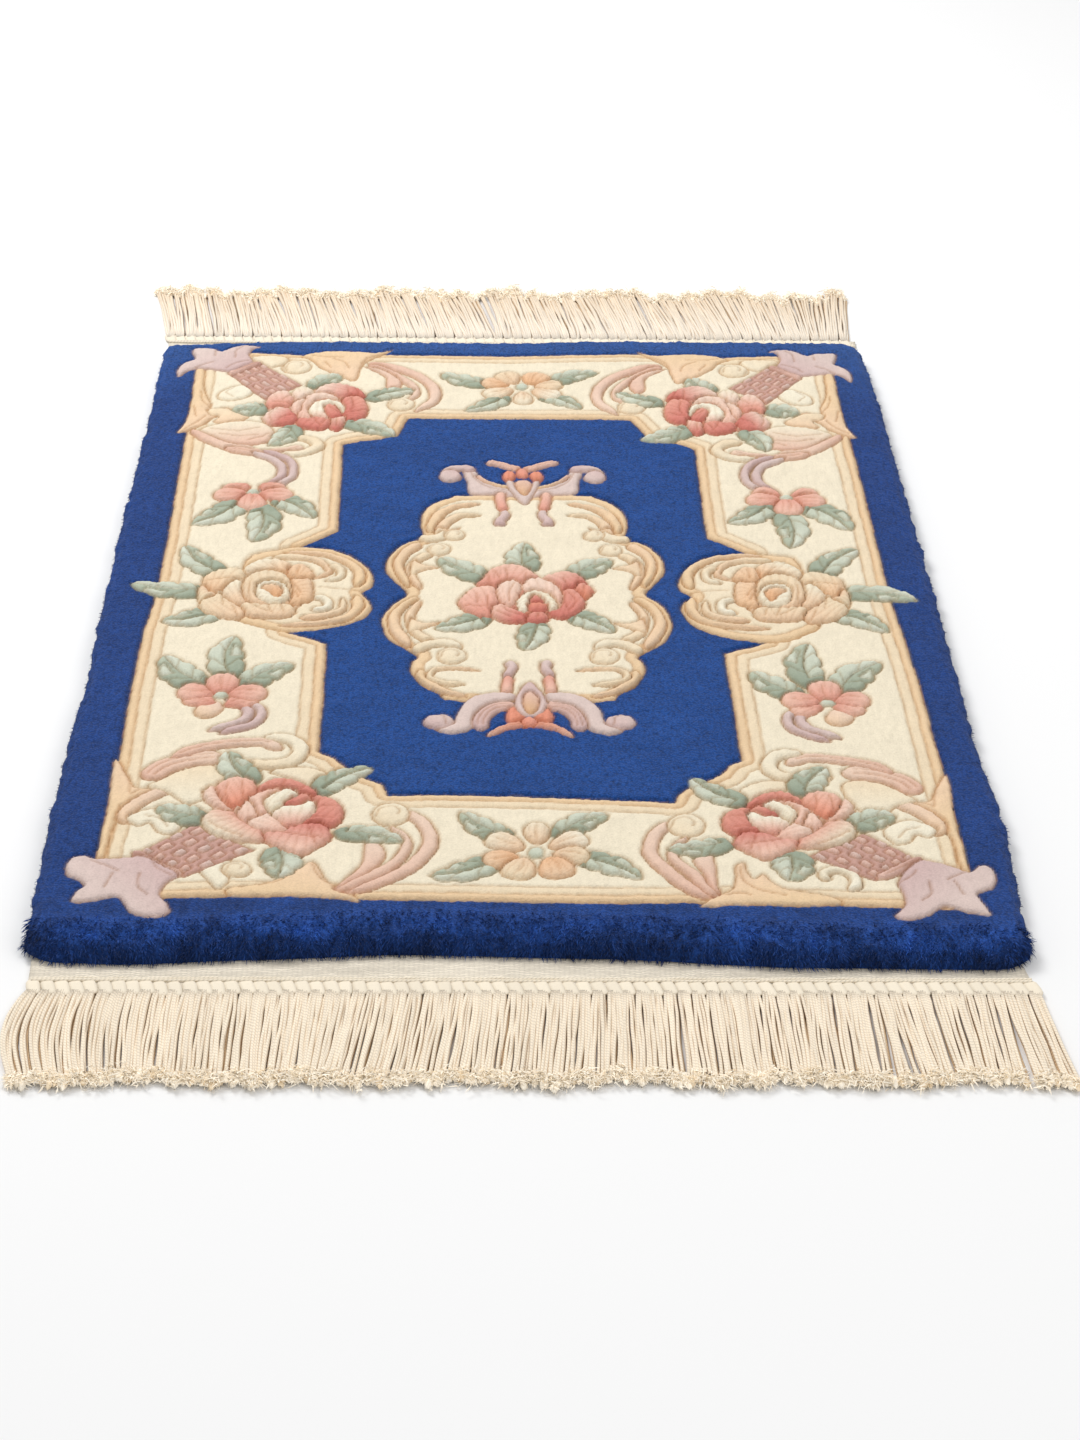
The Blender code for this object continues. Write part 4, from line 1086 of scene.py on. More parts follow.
def grain(shape, cell, seed):
    """Smooth noise from -1 to 1 over a grid. cell is its grain, in steps down and across."""
    out = np.random.default_rng(seed).uniform(-1, 1, [int(n / c) + 3 for n, c in zip(shape, cell)])
    for axis in (0, 1):
        place = np.arange(shape[axis]) / cell[axis]
        low = place.astype(int)
        soft = np.expand_dims((place - low) ** 2 * (3 - 2 * (place - low)), 1 - axis)
        out = np.take(out, low, axis) * (1 - soft) + np.take(out, low + 1, axis) * soft
    return out


# %% The pile's points
STEP_ACROSS = 1.22
STEP_ALONG = 1.66
reach_side = CORE["side"] + CORE_ROUND + RIM_LINES["side"]["length"]
reach_front = CORE["front"] - CORE_ROUND - RIM_LINES["front"]["length"]
reach_back = CORE["back"] + CORE_ROUND + RIM_LINES["back"]["length"]
flat_across = np.arange(-reach_side, reach_side + STEP_ACROSS, STEP_ACROSS)
flat_along = np.arange(reach_front, reach_back + STEP_ALONG, STEP_ALONG)
grid = (len(flat_along), len(flat_across))
flat_x, flat_y = (side.ravel() for side in np.meshgrid(flat_across, flat_along))
place, down = wrap(flat_x, flat_y)
on_top = down <= 0

wander = np.column_stack([
    grain(grid, (2.4, 2.2), 1).ravel() * 0.40 + grain(grid, (9, 11), 2).ravel() * 0.5,
    grain(grid, (2.6, 1.7), 3).ravel() * 0.50 + grain(grid, (8, 12), 4).ravel() * 0.5,
])
colour, cut, crown, line, piece_of = weave(place[:, :2] + wander)
colour[~on_top] = YARN_LIGHT["blue_deep"]
for values in (cut, crown, line, piece_of):
    values[~on_top] = 0
print("grid", grid, "deepest groove", cut.max().round(2), "mm")

# %% [markdown]
# ## Relief and shade of the wool
# Grooves show the sides of the tufts, which look darker and warmer than their cut ends. That shade is
# painted
# into the colour: each millimetre of depth multiplies it by a tint, and a painted shadow follows each
# clipped line. Blue wool also shows which way its pile was last stroked, as painted light and shade: soft
# dark and light clouds, strongest in front, where the tufts lean towards the viewer, a painted sheen that
# lightens the back, and painted light and shade down the rim.

# %% Relief and shade
# Painted shade in the grooves: each millimetre of clipped depth multiplies the yarn colour by these tints
GROOVE_SHADE_PALE = np.array((0.965, 0.945, 0.915))
GROOVE_SHADE_BLUE = np.array((0.84, 0.86, 0.90))
# Painted shadow along clipped lines, at full strength on the line itself
LINE_SHADOW_PALE = np.array((0.68, 0.54, 0.43))
LINE_SHADOW_BLUE = np.array((0.55, 0.60, 0.70))
# Painted light on the front rim: a lighter band where it bends over, and painted shade lower down its face
FRONT_RIM_LIGHT_AND_SHADE = ((-0.6, -0.1, 0.15, 0.38, 0.55, 1.0),
              (1.0, 1.3, 1.6, 1.45, 0.95, 0.8))  # how far down, how light
SIDE_RIM_SHADE = 0.30
# Painted sheen: the blue grows lighter towards the back of the rug
BACK_SHEEN = np.array((0.95, 0.68, 0.36))  # lighter blue at the back, where the nap leans away
is_blue = np.isin(piece_of, (PIECES.index("margin"), PIECES.index("field")))[:, None]
colour = colour * np.where(is_blue, GROOVE_SHADE_BLUE, GROOVE_SHADE_PALE) ** np.minimum(cut, 3.0)[:, None]
colour = colour * (1 + (np.where(is_blue, LINE_SHADOW_BLUE, LINE_SHADOW_PALE) - 1) * line[:, None])

# Painted light and shade of the nap: soft dark and light clouds and streaks on the blue, stronger and a
# little darker in front; the pale yarns get a faint trace of the same, with knot rows
stroked = grain(grid, (14, 26), 5).ravel() * 0.6 + grain(grid, (5, 9), 6).ravel() * 0.4
streaks = grain(grid, (5, 1.6), 7).ravel()
rows = grain(grid, (1.3, 6), 13).ravel()
in_front = np.clip((-380 - place[:, 1]) / 60, 0, 1)
behind = np.clip((place[:, 1] - 330) / 120, 0, 1)
clouds = stroked * (0.12 + 0.32 * in_front) + streaks * (0.06 + 0.16 * in_front)
blue_shade = (1 + clouds)[:, None] * (1 + behind[:, None] * BACK_SHEEN) * (1 - 0.08 * in_front[:, None])
light_shade = 1 + (stroked * 0.015 + streaks * 0.04 + rows * 0.02)[:, None]
at_front = (flat_y < CORE["front"]) & (np.abs(flat_x) < CORE["side"] + CORE_ROUND)
# A ragged edge for the painted light and shade of the front rim; the sides of the front half darken with
# painted shade towards the floor
ripple = grain(grid, (7, 10), 14).ravel() * 0.20 + grain(grid, (3, 5), 15).ravel() * 0.10
uneven_down = down + ripple * (down > -0.3)
front_rim_light_and_shade = np.interp(uneven_down, *FRONT_RIM_LIGHT_AND_SHADE)
side_rim_shade = 1 - SIDE_RIM_SHADE * np.clip(down, 0, 1) * (place[:, 1] < 0)
rim_shade = np.where(at_front, front_rim_light_and_shade, side_rim_shade)[:, None]
colour = colour * np.where(is_blue, blue_shade, light_shade) * rim_shade

net = place.reshape(*grid, 3)
across = np.gradient(net, axis=1)
along = np.gradient(net, axis=0)
outward = unit(np.cross(across, along))
tufts = grain(grid, (1.5, 1.7), 8).ravel() * 0.22 + grain(grid, (6, 5), 9).ravel() * 0.18
ruffle = grain(grid, (4, 3), 10).ravel() * 0.9 + grain(grid, (7, 9), 11).ravel() * 1.1
ruffle = ruffle * np.clip(down * 3, 0, 1)
swell = grain(grid, (45, 60), 12).ravel() * 0.35 * on_top
relief = tufts * (1 + is_blue[:, 0] * 0.6) + ruffle + swell + crown * 1.1 + streaks * 0.12
relief = relief - np.minimum(cut, 4.0)
foot_free = 1 - np.clip((down - 0.9) * 10, 0, 1)
place = place + outward.reshape(-1, 3) * (relief * foot_free)[:, None]

# %% [markdown]
# ## One mesh for each kind of knotting
# All pieces share the grid, so their edges meet in the grooves without a gap. Each takes only the squares
# that show its motif. Their corner normals come from the whole grid, which hides the joints between them.

# %% Cutting the grid into pieces
def grid_squares(shape):
    """The four corners, going round, of each square in a grid of points."""
    first = (np.arange(shape[0] - 1)[:, None] * shape[1] + np.arange(shape[1] - 1)).ravel()
    return np.stack([first, first + 1, first + 1 + shape[1], first + shape[1]], axis=1)


def new_object(name, points, faces, material):
    """A mesh object from points in millimetres."""
    mesh = bpy.data.meshes.new(name)
    faces = np.asarray(faces, int)
    mesh.vertices.add(len(points))
    mesh.vertices.foreach_set("co", (np.asarray(points, float) * MM).astype(np.float32).ravel())
    mesh.loops.add(faces.size)
    mesh.loops.foreach_set("vertex_index", faces.ravel())
    mesh.polygons.add(len(faces))
    mesh.polygons.foreach_set("loop_start", np.arange(0, faces.size, faces.shape[1]))
    mesh.update(calc_edges=True)
    mesh.polygons.foreach_set("use_smooth", np.ones(len(faces), bool))
    mesh.materials.append(material)
    made = bpy.data.objects.new(name, mesh)
    bpy.context.scene.collection.objects.link(made)
    return made


def give_colour(made, name, values):
    """A colour for each point, which the material reads by its name."""
    rgba = np.ones((len(values), 4), np.float32)
    rgba[:, :values.shape[1]] = values
    made.data.color_attributes.new(name, "FLOAT_COLOR", "POINT").data.foreach_set("color", rgba.ravel())


MAP_MARGIN = 0.01


def give_map(made, flat):
    """The map for baking: the flat pattern, scaled to fill the picture."""
    low, high = flat.min(axis=0), flat.max(axis=0)
    uv = (flat - low) / (high - low).max() * (1 - 2 * MAP_MARGIN) + MAP_MARGIN
    corners = np.empty(len(made.data.loops), int)
    made.data.loops.foreach_get("vertex_index", corners)
    made.data.uv_layers.new(name="OFBake").data.foreach_set("uv", uv[corners].astype(np.float32).ravel())

# %% [markdown]
# ## Wool and cotton in nodes
# Wool pile is a field of tiny tuft ends. Up close they are a speckle with darker gaps, which is shade
# painted into the colour, and along the nap they run together in short streaks. That effect is the same for
# every dye, so it is one node group that takes a yarn colour and gives back a colour and a height. Twisted
# cotton and plain weave get a group each; the cord's group paints shade between its plies, and the weave's
# between its threads. The groups only put out colours and heights, and each material keeps its own shader.

# %% Node helpers
WHITE = (1.0, 1.0, 1.0, 1.0)


def add(tree, kind, sockets=None, **settings):
    """A node with its settings. sockets maps a socket to a value or to another node's output."""
    made = tree.nodes.new("ShaderNode" + kind)
    for key, value in settings.items():
        setattr(made, key, value)
    for key, value in (sockets or {}).items():
        if isinstance(value, bpy.types.NodeSocket):
            tree.links.new(value, made.inputs[key])
        else:
            made.inputs[key].default_value = value
    return made


def calc(tree, operation, first, second=0.0, third=0.0):
    return add(tree, "Math", {0: first, 1: second, 2: third}, operation=operation).outputs[0]


def noise(tree, vector, scale, detail, roughness=0.5):
    sockets = {"Vector": vector, "Scale": scale, "Detail": detail, "Roughness": roughness}
    return add(tree, "TexNoise", sockets).outputs["Fac"]


def effect(name, inputs):
    """A node group that takes a yarn colour and named numbers, and gives a colour and a height."""
    tree = bpy.data.node_groups.new(name, "ShaderNodeTree")
    tree.interface.new_socket("Yarn", in_out="INPUT", socket_type="NodeSocketColor").default_value = WHITE
    for label, value in inputs.items():
        tree.interface.new_socket(label, in_out="INPUT",
                                  socket_type="NodeSocketFloat").default_value = value
    tree.interface.new_socket("Colour", in_out="OUTPUT", socket_type="NodeSocketColor")
    tree.interface.new_socket("Height", in_out="OUTPUT", socket_type="NodeSocketFloat")
    given = tree.nodes.new("NodeGroupInput").outputs
    result = tree.nodes.new("NodeGroupOutput").inputs
    place = add(tree, "TexCoord").outputs["Object"]
    in_mm = add(tree, "VectorMath", {0: place, "Scale": 1000.0}, operation="SCALE").outputs[0]
    return tree, given, result, in_mm


def finish_effect(tree, given, result, shade, height):
    """The yarn's colour times the shade, and the height, to the group's outputs."""
    shaded = add(tree, "VectorMath", {0: given["Yarn"], "Scale": shade}, operation="SCALE").outputs[0]
    tree.links.new(shaded, result["Colour"])
    tree.links.new(height, result["Height"])


# %% Wool pile group
tree, given, result, in_mm = effect("Wool pile", {"Tuft width": 1.5, "Speckle": 0.2, "Streak": 0.2})
fineness = calc(tree, "DIVIDE", 1.0, given["Tuft width"])
ends = add(tree, "TexVoronoi", {"Vector": in_mm, "Scale": fineness}).outputs["Distance"]
lying = add(tree, "Mapping", {"Vector": in_mm, "Scale": (1.0, 0.3, 0.5)}).outputs[0]
nap = noise(tree, lying, 0.45, 3.0, 0.65)
fibres = noise(tree, in_mm, 1.6, 2.0, 0.7)
# Painted shade in the gaps between tuft ends: darker away from the middle of each tuft
tip = calc(tree, "SUBTRACT", 0.42, ends)
speckle = calc(tree, "MULTIPLY_ADD", tip, given["Speckle"], 1.0)
streaky = calc(tree, "MULTIPLY_ADD", calc(tree, "SUBTRACT", nap, 0.5), given["Streak"], speckle)
fuzzy = calc(tree, "MULTIPLY_ADD", calc(tree, "SUBTRACT", fibres, 0.5), given["Speckle"], streaky)
finish_effect(tree, given, result, fuzzy, calc(tree, "MULTIPLY_ADD", fibres, 0.6, tip))

# %% Twisted cotton group
tree, given, result, in_mm = effect("Twisted cotton", {"Ply length": 5.0, "Depth": 0.3})
lay = add(tree, "SeparateXYZ", {0: add(tree, "Attribute", attribute_name="lay").outputs["Vector"]}).outputs
turns = calc(tree, "MULTIPLY", calc(tree, "DIVIDE", lay[2], given["Ply length"]), 2 * math.pi)
wave_a = calc(tree, "MULTIPLY", calc(tree, "SINE", turns), lay[0])
wave_b = calc(tree, "MULTIPLY_ADD", calc(tree, "COSINE", turns), lay[1], wave_a)
ply = calc(tree, "ABSOLUTE", wave_b)
hairs = noise(tree, in_mm, 1.1, 3.0)
height = calc(tree, "MULTIPLY_ADD", hairs, 0.5, ply)
# Painted shade between the plies: darker where the twisted height is low
shade = calc(tree, "MULTIPLY_ADD", calc(tree, "SUBTRACT", height, 0.85), given["Depth"], 1.0)
finish_effect(tree, given, result, shade, height)

# %% Plain weave group
def threads_across(tree, place, pitch):
    """How high each of a row of threads is: 1 on its middle and 0 at its edges."""
    turns = calc(tree, "DIVIDE", calc(tree, "MULTIPLY", place, math.pi), pitch)
    return calc(tree, "ABSOLUTE", calc(tree, "SINE", turns))


tree, given, result, in_mm = effect("Plain weave", {"Warp pitch": 2.2, "Weft pitch": 1.5, "Depth": 0.3})
uneven = noise(tree, in_mm, 0.12, 2.0)
where = add(tree, "SeparateXYZ", {0: in_mm}).outputs
bent = calc(tree, "MULTIPLY_ADD", uneven, 5.0, where[1])
weft = threads_across(tree, bent, given["Weft pitch"])
warp = threads_across(tree, where[0], given["Warp pitch"])
hairs = noise(tree, in_mm, 0.9, 4.0)
woven = calc(tree, "MULTIPLY_ADD", warp, 0.25, weft)
height = calc(tree, "MULTIPLY_ADD", hairs, 0.5, woven)
# Painted shade between the threads: darker where the weave is low
shade = calc(tree, "MULTIPLY_ADD", calc(tree, "SUBTRACT", height, 1.1), given["Depth"], 1.0)
finish_effect(tree, given, result, shade, height)


# %% Materials
FIBRE_ROUGH, FIBRE_GLOSS, SHEEN_ROUGH = 0.95, 0.15, 0.5


def cloth_material(name, group_name, values, bump, bump_depth, sheen):
    """A material of matt fibre, whose yarn colour is the mesh's own. bump_depth is in millimetres."""
    made = bpy.data.materials.new(name)
    made.use_nodes = True
    tree = made.node_tree
    shader = tree.nodes["Principled BSDF"]
    effect_node = tree.nodes.new("ShaderNodeGroup")
    effect_node.node_tree = bpy.data.node_groups[group_name]
    for key, value in values.items():
        effect_node.inputs[key].default_value = value
    yarn = add(tree, "Attribute", attribute_name="yarn").outputs["Color"]
    tree.links.new(yarn, effect_node.inputs["Yarn"])
    height = effect_node.outputs["Height"]
    raised = add(tree, "Bump", {"Height": height, "Strength": bump, "Distance": bump_depth * MM})
    tree.links.new(effect_node.outputs["Colour"], shader.inputs["Base Color"])
    tree.links.new(raised.outputs["Normal"], shader.inputs["Normal"])
    shader.inputs["Roughness"].default_value = FIBRE_ROUGH
    shader.inputs["Specular IOR Level"].default_value = FIBRE_GLOSS
    shader.inputs["Sheen Weight"].default_value = sheen
    shader.inputs["Sheen Roughness"].default_value = SHEEN_ROUGH
    return made


BLUE_WOOL = cloth_material("Blue wool pile", "Wool pile",
                           {"Tuft width": 1.6, "Speckle": 0.75, "Streak": 0.9},
                           bump=0.7, bump_depth=0.9, sheen=0.07)
LIGHT_WOOL = cloth_material("Light wool pile", "Wool pile",
                            {"Tuft width": 1.4, "Speckle": 0.14, "Streak": 0.12},
                            bump=0.6, bump_depth=0.6, sheen=0.08)
COTTON_CORD = cloth_material("Twisted cotton cord", "Twisted cotton", {"Ply length": 5.5, "Depth": 0.28},
                             bump=0.5, bump_depth=0.4, sheen=0.1)
COTTON_WEAVE = cloth_material("Cotton ground weave", "Plain weave", {"Warp pitch": 3.1, "Depth": 0.30},
                              bump=0.8, bump_depth=0.6, sheen=0.05)
print(len(bpy.data.node_groups), "effects,", len(bpy.data.materials), "materials with the frame's own")

# %% Making the pile
squares = grid_squares(grid)
squares = squares[(down[squares] < 1).any(axis=1)]
square_piece = np.median(np.sort(piece_of[squares], axis=1)[:, 1:], axis=1).astype(int)

edge_a = place[squares[:, 2]] - place[squares[:, 0]]
edge_b = place[squares[:, 3]] - place[squares[:, 1]]
face_normal = np.cross(edge_a, edge_b)
point_normal = np.zeros((len(place), 3))
for corner in range(4):
    for axis in range(3):
        point_normal[:, axis] += np.bincount(squares[:, corner], face_normal[:, axis], len(place))
point_normal = unit(point_normal)

for number, key in enumerate(PIECES):
    own = squares[square_piece == number]
    used, faces = np.unique(own, return_inverse=True)
    wool = BLUE_WOOL if key in ("margin", "field") else LIGHT_WOOL
    made = new_object(PIECE_NAMES[key], place[used], faces.reshape(own.shape), wool)
    give_colour(made, "yarn", colour[used])
    give_map(made, np.column_stack([flat_x[used], flat_y[used]]))
    made.data.normals_split_custom_set_from_vertices(point_normal[used])
    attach(made, "root")
    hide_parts("pile")
    print(made.name, 2 * len(own), "triangles")

# %% [markdown]
# ## Loose ends along the rim
# A knotted rug's rim isn't a clean edge: single tufts stick out and blur the outline. Hair particles would
# do it, but small bent blades of three faces each travel better, since they are plain mesh.

# %% Rim tufts
def blades(roots, ways, lengths, widths, droop, lowest, rng):
    """Bent blades as one set of points and triangles. droop pulls the tips towards the floor."""
    ways = unit(ways)
    side = unit(np.cross(ways, rng.normal(size=ways.shape))) * (widths[:, None] / 2)
    fall = np.array((0, 0, -1.0)) * droop
    middle = roots + ways * (lengths * 0.55)[:, None] + fall * (lengths * 0.15)[:, None]
    tip = roots + ways * (lengths * 0.95)[:, None] + fall * (lengths * 0.5)[:, None]
    points = np.stack([roots - side, roots + side, middle + side * 0.7, middle - side * 0.7, tip], axis=1)
    start = np.arange(len(roots))[:, None] * 5
    faces = np.concatenate([start + (0, 1, 2), start + (0, 2, 3), start + (3, 2, 4)])
    points[..., 2] = np.maximum(points[..., 2], lowest[:, None])
    return points.reshape(-1, 3), faces


RIM_TUFTS = (
    # where, how many, from which share of the rim, shortest, longest, thinnest, thickest, lean, lowest
    ("front", 16000, -0.55, 3.5, 8.0, 0.4, 0.9, (0.0, -0.55, -0.35), 2.9),
    ("sides", 8000, 0.05, 1.4, 3.0, 0.3, 0.6, (0.0, -0.15, 0.1), 0.3),
    ("back", 2200, 0.05, 1.4, 3.0, 0.3, 0.6, (0.0, 0.0, 0.3), 2.9),
)
rng = np.random.default_rng(21)
rim_kind = np.where(flat_y < CORE["front"] - 4, 0, np.where(flat_y > CORE["back"], 2, 1))
clump_across = grain(grid, (7, 8), 22).ravel()
clump_tone = grain(grid, (5, 5), 23).ravel() * 0.5 + grain(grid, (12, 18), 24).ravel() * 0.5
parts, tones, start = [], [], 0
for kind, (where, count, first, short, long, thin, thick, lean, lowest) in enumerate(RIM_TUFTS):
    able = np.flatnonzero((rim_kind == kind) & (down > first) & (down < 0.96) & (piece_of == 0))
    weight = np.clip((down[able] - first) / 0.6, 0.03, 1)
    chosen = rng.choice(able, count, p=weight / weight.sum())
    way = point_normal[chosen] * 0.8 + lean + rng.normal(size=(count, 3)) * 0.28
    way[:, 0] += clump_across[chosen] * 0.7
    root = place[chosen] - point_normal[chosen] * 0.8 + rng.normal(size=(count, 3)) * 0.4
    length, width = rng.uniform(short, long, count), rng.uniform(thin, thick, count)
    points, faces = blades(root, way, length, width, 0.5, np.full(count, lowest), rng)
    parts.append((points, faces + start))
    start += len(points)
    tone = colour[chosen] * (1 + clump_tone[chosen, None] * 0.65) * rng.uniform(0.7, 1.5, (count, 1))
    tones.append(np.repeat(tone, 5, axis=0))
fuzz = new_object("rim_tufts", np.concatenate([p for p, f in parts]), np.concatenate([f for p, f in parts]),
                  BLUE_WOOL)
give_colour(fuzz, "yarn", np.concatenate(tones))
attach(fuzz, "root")
print("rim tufts", start // 5)

# %% [markdown]
# ## The cotton ground
# The knots sit on a plain-woven cotton ground, which shows as a flat strip at each end. It is one sheet, so
# it is built as one closed thin mesh, fine where it shows and coarse under the pile.

# %% Cotton ground
END_STRIPS = {
    # edge, left and right are the strip's own. tips and cords say how far out the tips and the roots lie.
    # knots says how far in from the corners the first and the last knot are
    "front": {"edge": -489.0, "left": -306.0, "right": 313.0, "tips": 84.0, "away": -1, "cords": -2.0,
              "knots": (4, 4)},
    "back": {"edge": 502.0, "left": -308.0, "right": 307.0, "tips": 96.0, "away": 1, "cords": -2.5,
             "knots": (3, 10)},
}
SHEET_TOP = 2.15
SHEET_INSET = 3.0
STRIP_FINE, PILE_COARSE = 1.5, 30
COTTON_LIGHT = linear((0.925, 0.885, 0.815))
ground_rows = np.concatenate([
    np.arange(-489, -450, STRIP_FINE), np.arange(-450, 455, PILE_COARSE), np.arange(455, 502.1, STRIP_FINE),
])
ground_shares = np.linspace(0, 1, 130)


def ground_side(side, rows):
    """Where the cotton ground's own edge lies: at the strips' corners, and just inside the pile between."""
    inset = SHEET_INSET if side == "left" else -SHEET_INSET
    under = edge_at(side, np.clip(rows, -470, 462)) + inset
    front = np.clip((-455 - rows) / 34, 0, 1)
    back = np.clip((rows - 460) / 42, 0, 1)
    return under * (1 - front - back) + END_STRIPS["front"][side] * front + END_STRIPS["back"][side] * back


left_line, right_line = ground_side("left", ground_rows), ground_side("right", ground_rows)
sheet_shape = (len(ground_rows), len(ground_shares))
strip = np.clip(np.maximum(-448 - ground_rows, ground_rows - 455) / 10, 0, 1)[:, None]
sheet_x = left_line[:, None] + (right_line - left_line)[:, None] * ground_shares
sheet_y = ground_rows[:, None] + grain(sheet_shape, (40, 14), 31) * 1.2 * strip
buckle = grain(sheet_shape, (9, 9), 32) * 0.35 + grain(sheet_shape, (3, 2), 33) * 0.12
sheet_z = SHEET_TOP + strip * buckle
top = np.stack([sheet_x, sheet_y, sheet_z], axis=2).reshape(-1, 3)
bottom = top * (1, 1, 0)
count = len(top)
upper = grid_squares(sheet_shape)
numbers = np.arange(count).reshape(sheet_shape)
loop = np.concatenate([numbers[0, :-1], numbers[:-1, -1], numbers[-1, :0:-1], numbers[:0:-1, 0]])
walls = np.stack([np.roll(loop, -1), loop, loop + count, np.roll(loop, -1) + count], axis=1)
sheet_faces = np.concatenate([upper, upper[:, ::-1] + count, walls])
cotton = new_object("cotton_ground", np.concatenate([top, bottom]), sheet_faces, COTTON_WEAVE)
patchy = 0.97 + grain(sheet_shape, (4, 7), 34) * 0.08 + grain(sheet_shape, (14, 20), 35) * 0.06
give_colour(cotton, "yarn", np.tile(COTTON_LIGHT * patchy.reshape(-1, 1), (2, 1)))
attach(cotton, "root")
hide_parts("foundation")
print("cotton ground", sheet_shape, "points above and below")

# %% [markdown]
# ## The knotted fringe
# The warps hang out as a fringe. First two cords are twined along the end of the strip, then the warps are
# knotted in small groups, and beyond the knots they lie on the floor as about 340 twisted cords an end,
# whose cut tips have come untwisted into fluff. A cord is a five-sided tube along its own path, built for
# all cords at once, over thinner ones that fill the gaps. Those, and each cord's underside and root, are
# painted darker with shade. A curve object for each cord would look the same but would make hundreds of
# pieces.

# %% Cord helpers
def ring_faces(number):
    """The faces between each ring of points and the next, where number has a row for each ring."""
    a, b = number[..., :-1, :], number[..., 1:, :]
    return np.stack([a, np.roll(a, -1, axis=-1), np.roll(b, -1, axis=-1), b], axis=-1).reshape(-1, 4)


def tubes(paths, radii, sides):
    """Tubes along many paths at once: points, faces and how the yarn lies round and along each."""
    step = np.gradient(paths, axis=1)
    across = unit(np.stack([-step[..., 1], step[..., 0], np.zeros(step.shape[:2])], axis=2))
    angle = np.arange(sides) * 2 * np.pi / sides
    up = np.array((0, 0, 1.0))
    ring = across[:, :, None] * np.cos(angle)[:, None] + up * np.sin(angle)[:, None]
    points = paths[:, :, None] + ring * radii[:, :, None, None]
    lengths = np.linalg.norm(np.diff(paths, axis=1), axis=2)
    along = np.concatenate([np.zeros((len(paths), 1)), np.cumsum(lengths, axis=1)], axis=1)
    lay = np.zeros((*points.shape[:3], 3))
    lay[..., 0], lay[..., 1], lay[..., 2] = np.cos(angle), np.sin(angle), along[:, :, None]
    many, stations = paths.shape[:2]
    number = np.arange(many * stations * sides).reshape(many, stations, sides)
    return points.reshape(-1, 3), ring_faces(number), lay.reshape(-1, 3)


KNOT_PITCH = 8.65
CORD_RADIUS, CORD_SIDES = 1.3, 5
LOW_RADIUS, LOW_SIDES = 0.95, 4
STATIONS = 17
TIP_LENGTH, IN_FLUFF = 10, 8.0
PARTING, CORNER_BUNDLE = 212, 24
FRONT_SWEEP = ((-170, -110, 20, 70, 200, 230, 280),
               (0, -8, -8, 0, 2, 5, 0))  # where a cord is rooted, its lean
BACK_SWEEP = ((-307, -20, 60, 180, 225, 256, 297), (-16, -17, -15, -15, -11, -3, 8))
CORD_COLOUR = linear((0.945, 0.890, 0.805))
CORD_UNDERSIDE_SHADE = np.array((0.74, 0.58, 0.44))
HEADING_COLOUR = linear((0.925, 0.880, 0.800))
CORD_COOL = (0.98, 1.0, 1.05)
CORD_FAR = np.array((0.93, 0.87, 0.79))
LOW_CORD_SHADE = np.array((0.80, 0.66, 0.50))


def drift_of(end, x, number, share):
    """How far a cord has strayed sideways at each share of its length."""
    sizes = END_STRIPS[end]
    from_left, from_right = x - sizes["left"], sizes["right"] - x
    wave = 1.2 * np.sin(number * 0.21) + 0.9 * np.sin(number * 0.083 + 1.0)
    if end == "front":
        parted = 3.2 * np.sign(x - PARTING) * np.exp(-np.abs(x - PARTING) / 9)
        swept = np.interp(x, *FRONT_SWEEP)
        lean = 2.5 * np.exp(-from_right / 60) + 5.0 * (from_right < CORNER_BUNDLE) + wave + parted + swept
        bow = -9.0 * np.exp(-from_left / 45)
    else:
        swept = 1.6 * np.sin(x * 0.045) + 1.8 * np.sin(x * 0.11 + 2.0)
        lean = wave + swept + np.interp(x, *BACK_SWEEP)
        bow = 0.0 * x
    return lean[:, None] * share ** 1.2 + bow[:, None] * np.sin(np.pi * share)


def ball_net(rings, around):
    """The points and faces of a ball whose axis runs along y."""
    angle = np.linspace(0, 2 * np.pi, around, endpoint=False)
    lift = np.linspace(0.12, np.pi - 0.12, rings)
    wide, level = np.sin(lift), np.cos(lift)
    points = np.stack([
        np.outer(wide, np.cos(angle)), np.outer(level, np.ones(around)), np.outer(wide, np.sin(angle)),
    ], axis=2).reshape(-1, 3)
    return points, ring_faces(np.arange(rings * around).reshape(rings, around))


def cotton_piece(name, end, parts, tone, lay):
    """One object from several sets of points and faces. lay says how the yarn lies at each point."""
    starts = np.cumsum([0] + [len(points) for points, faces in parts[:-1]])
    faces = np.concatenate([part[1] + start for part, start in zip(parts, starts)])
    made = new_object(name + end, np.concatenate([points for points, _ in parts]), faces, COTTON_CORD)
    give_colour(made, "yarn", tone)
    lies = made.data.attributes.new("lay", "FLOAT_VECTOR", "POINT")
    lies.data.foreach_set("vector", lay.astype(np.float32).ravel())
    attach(made, "root")
    return made


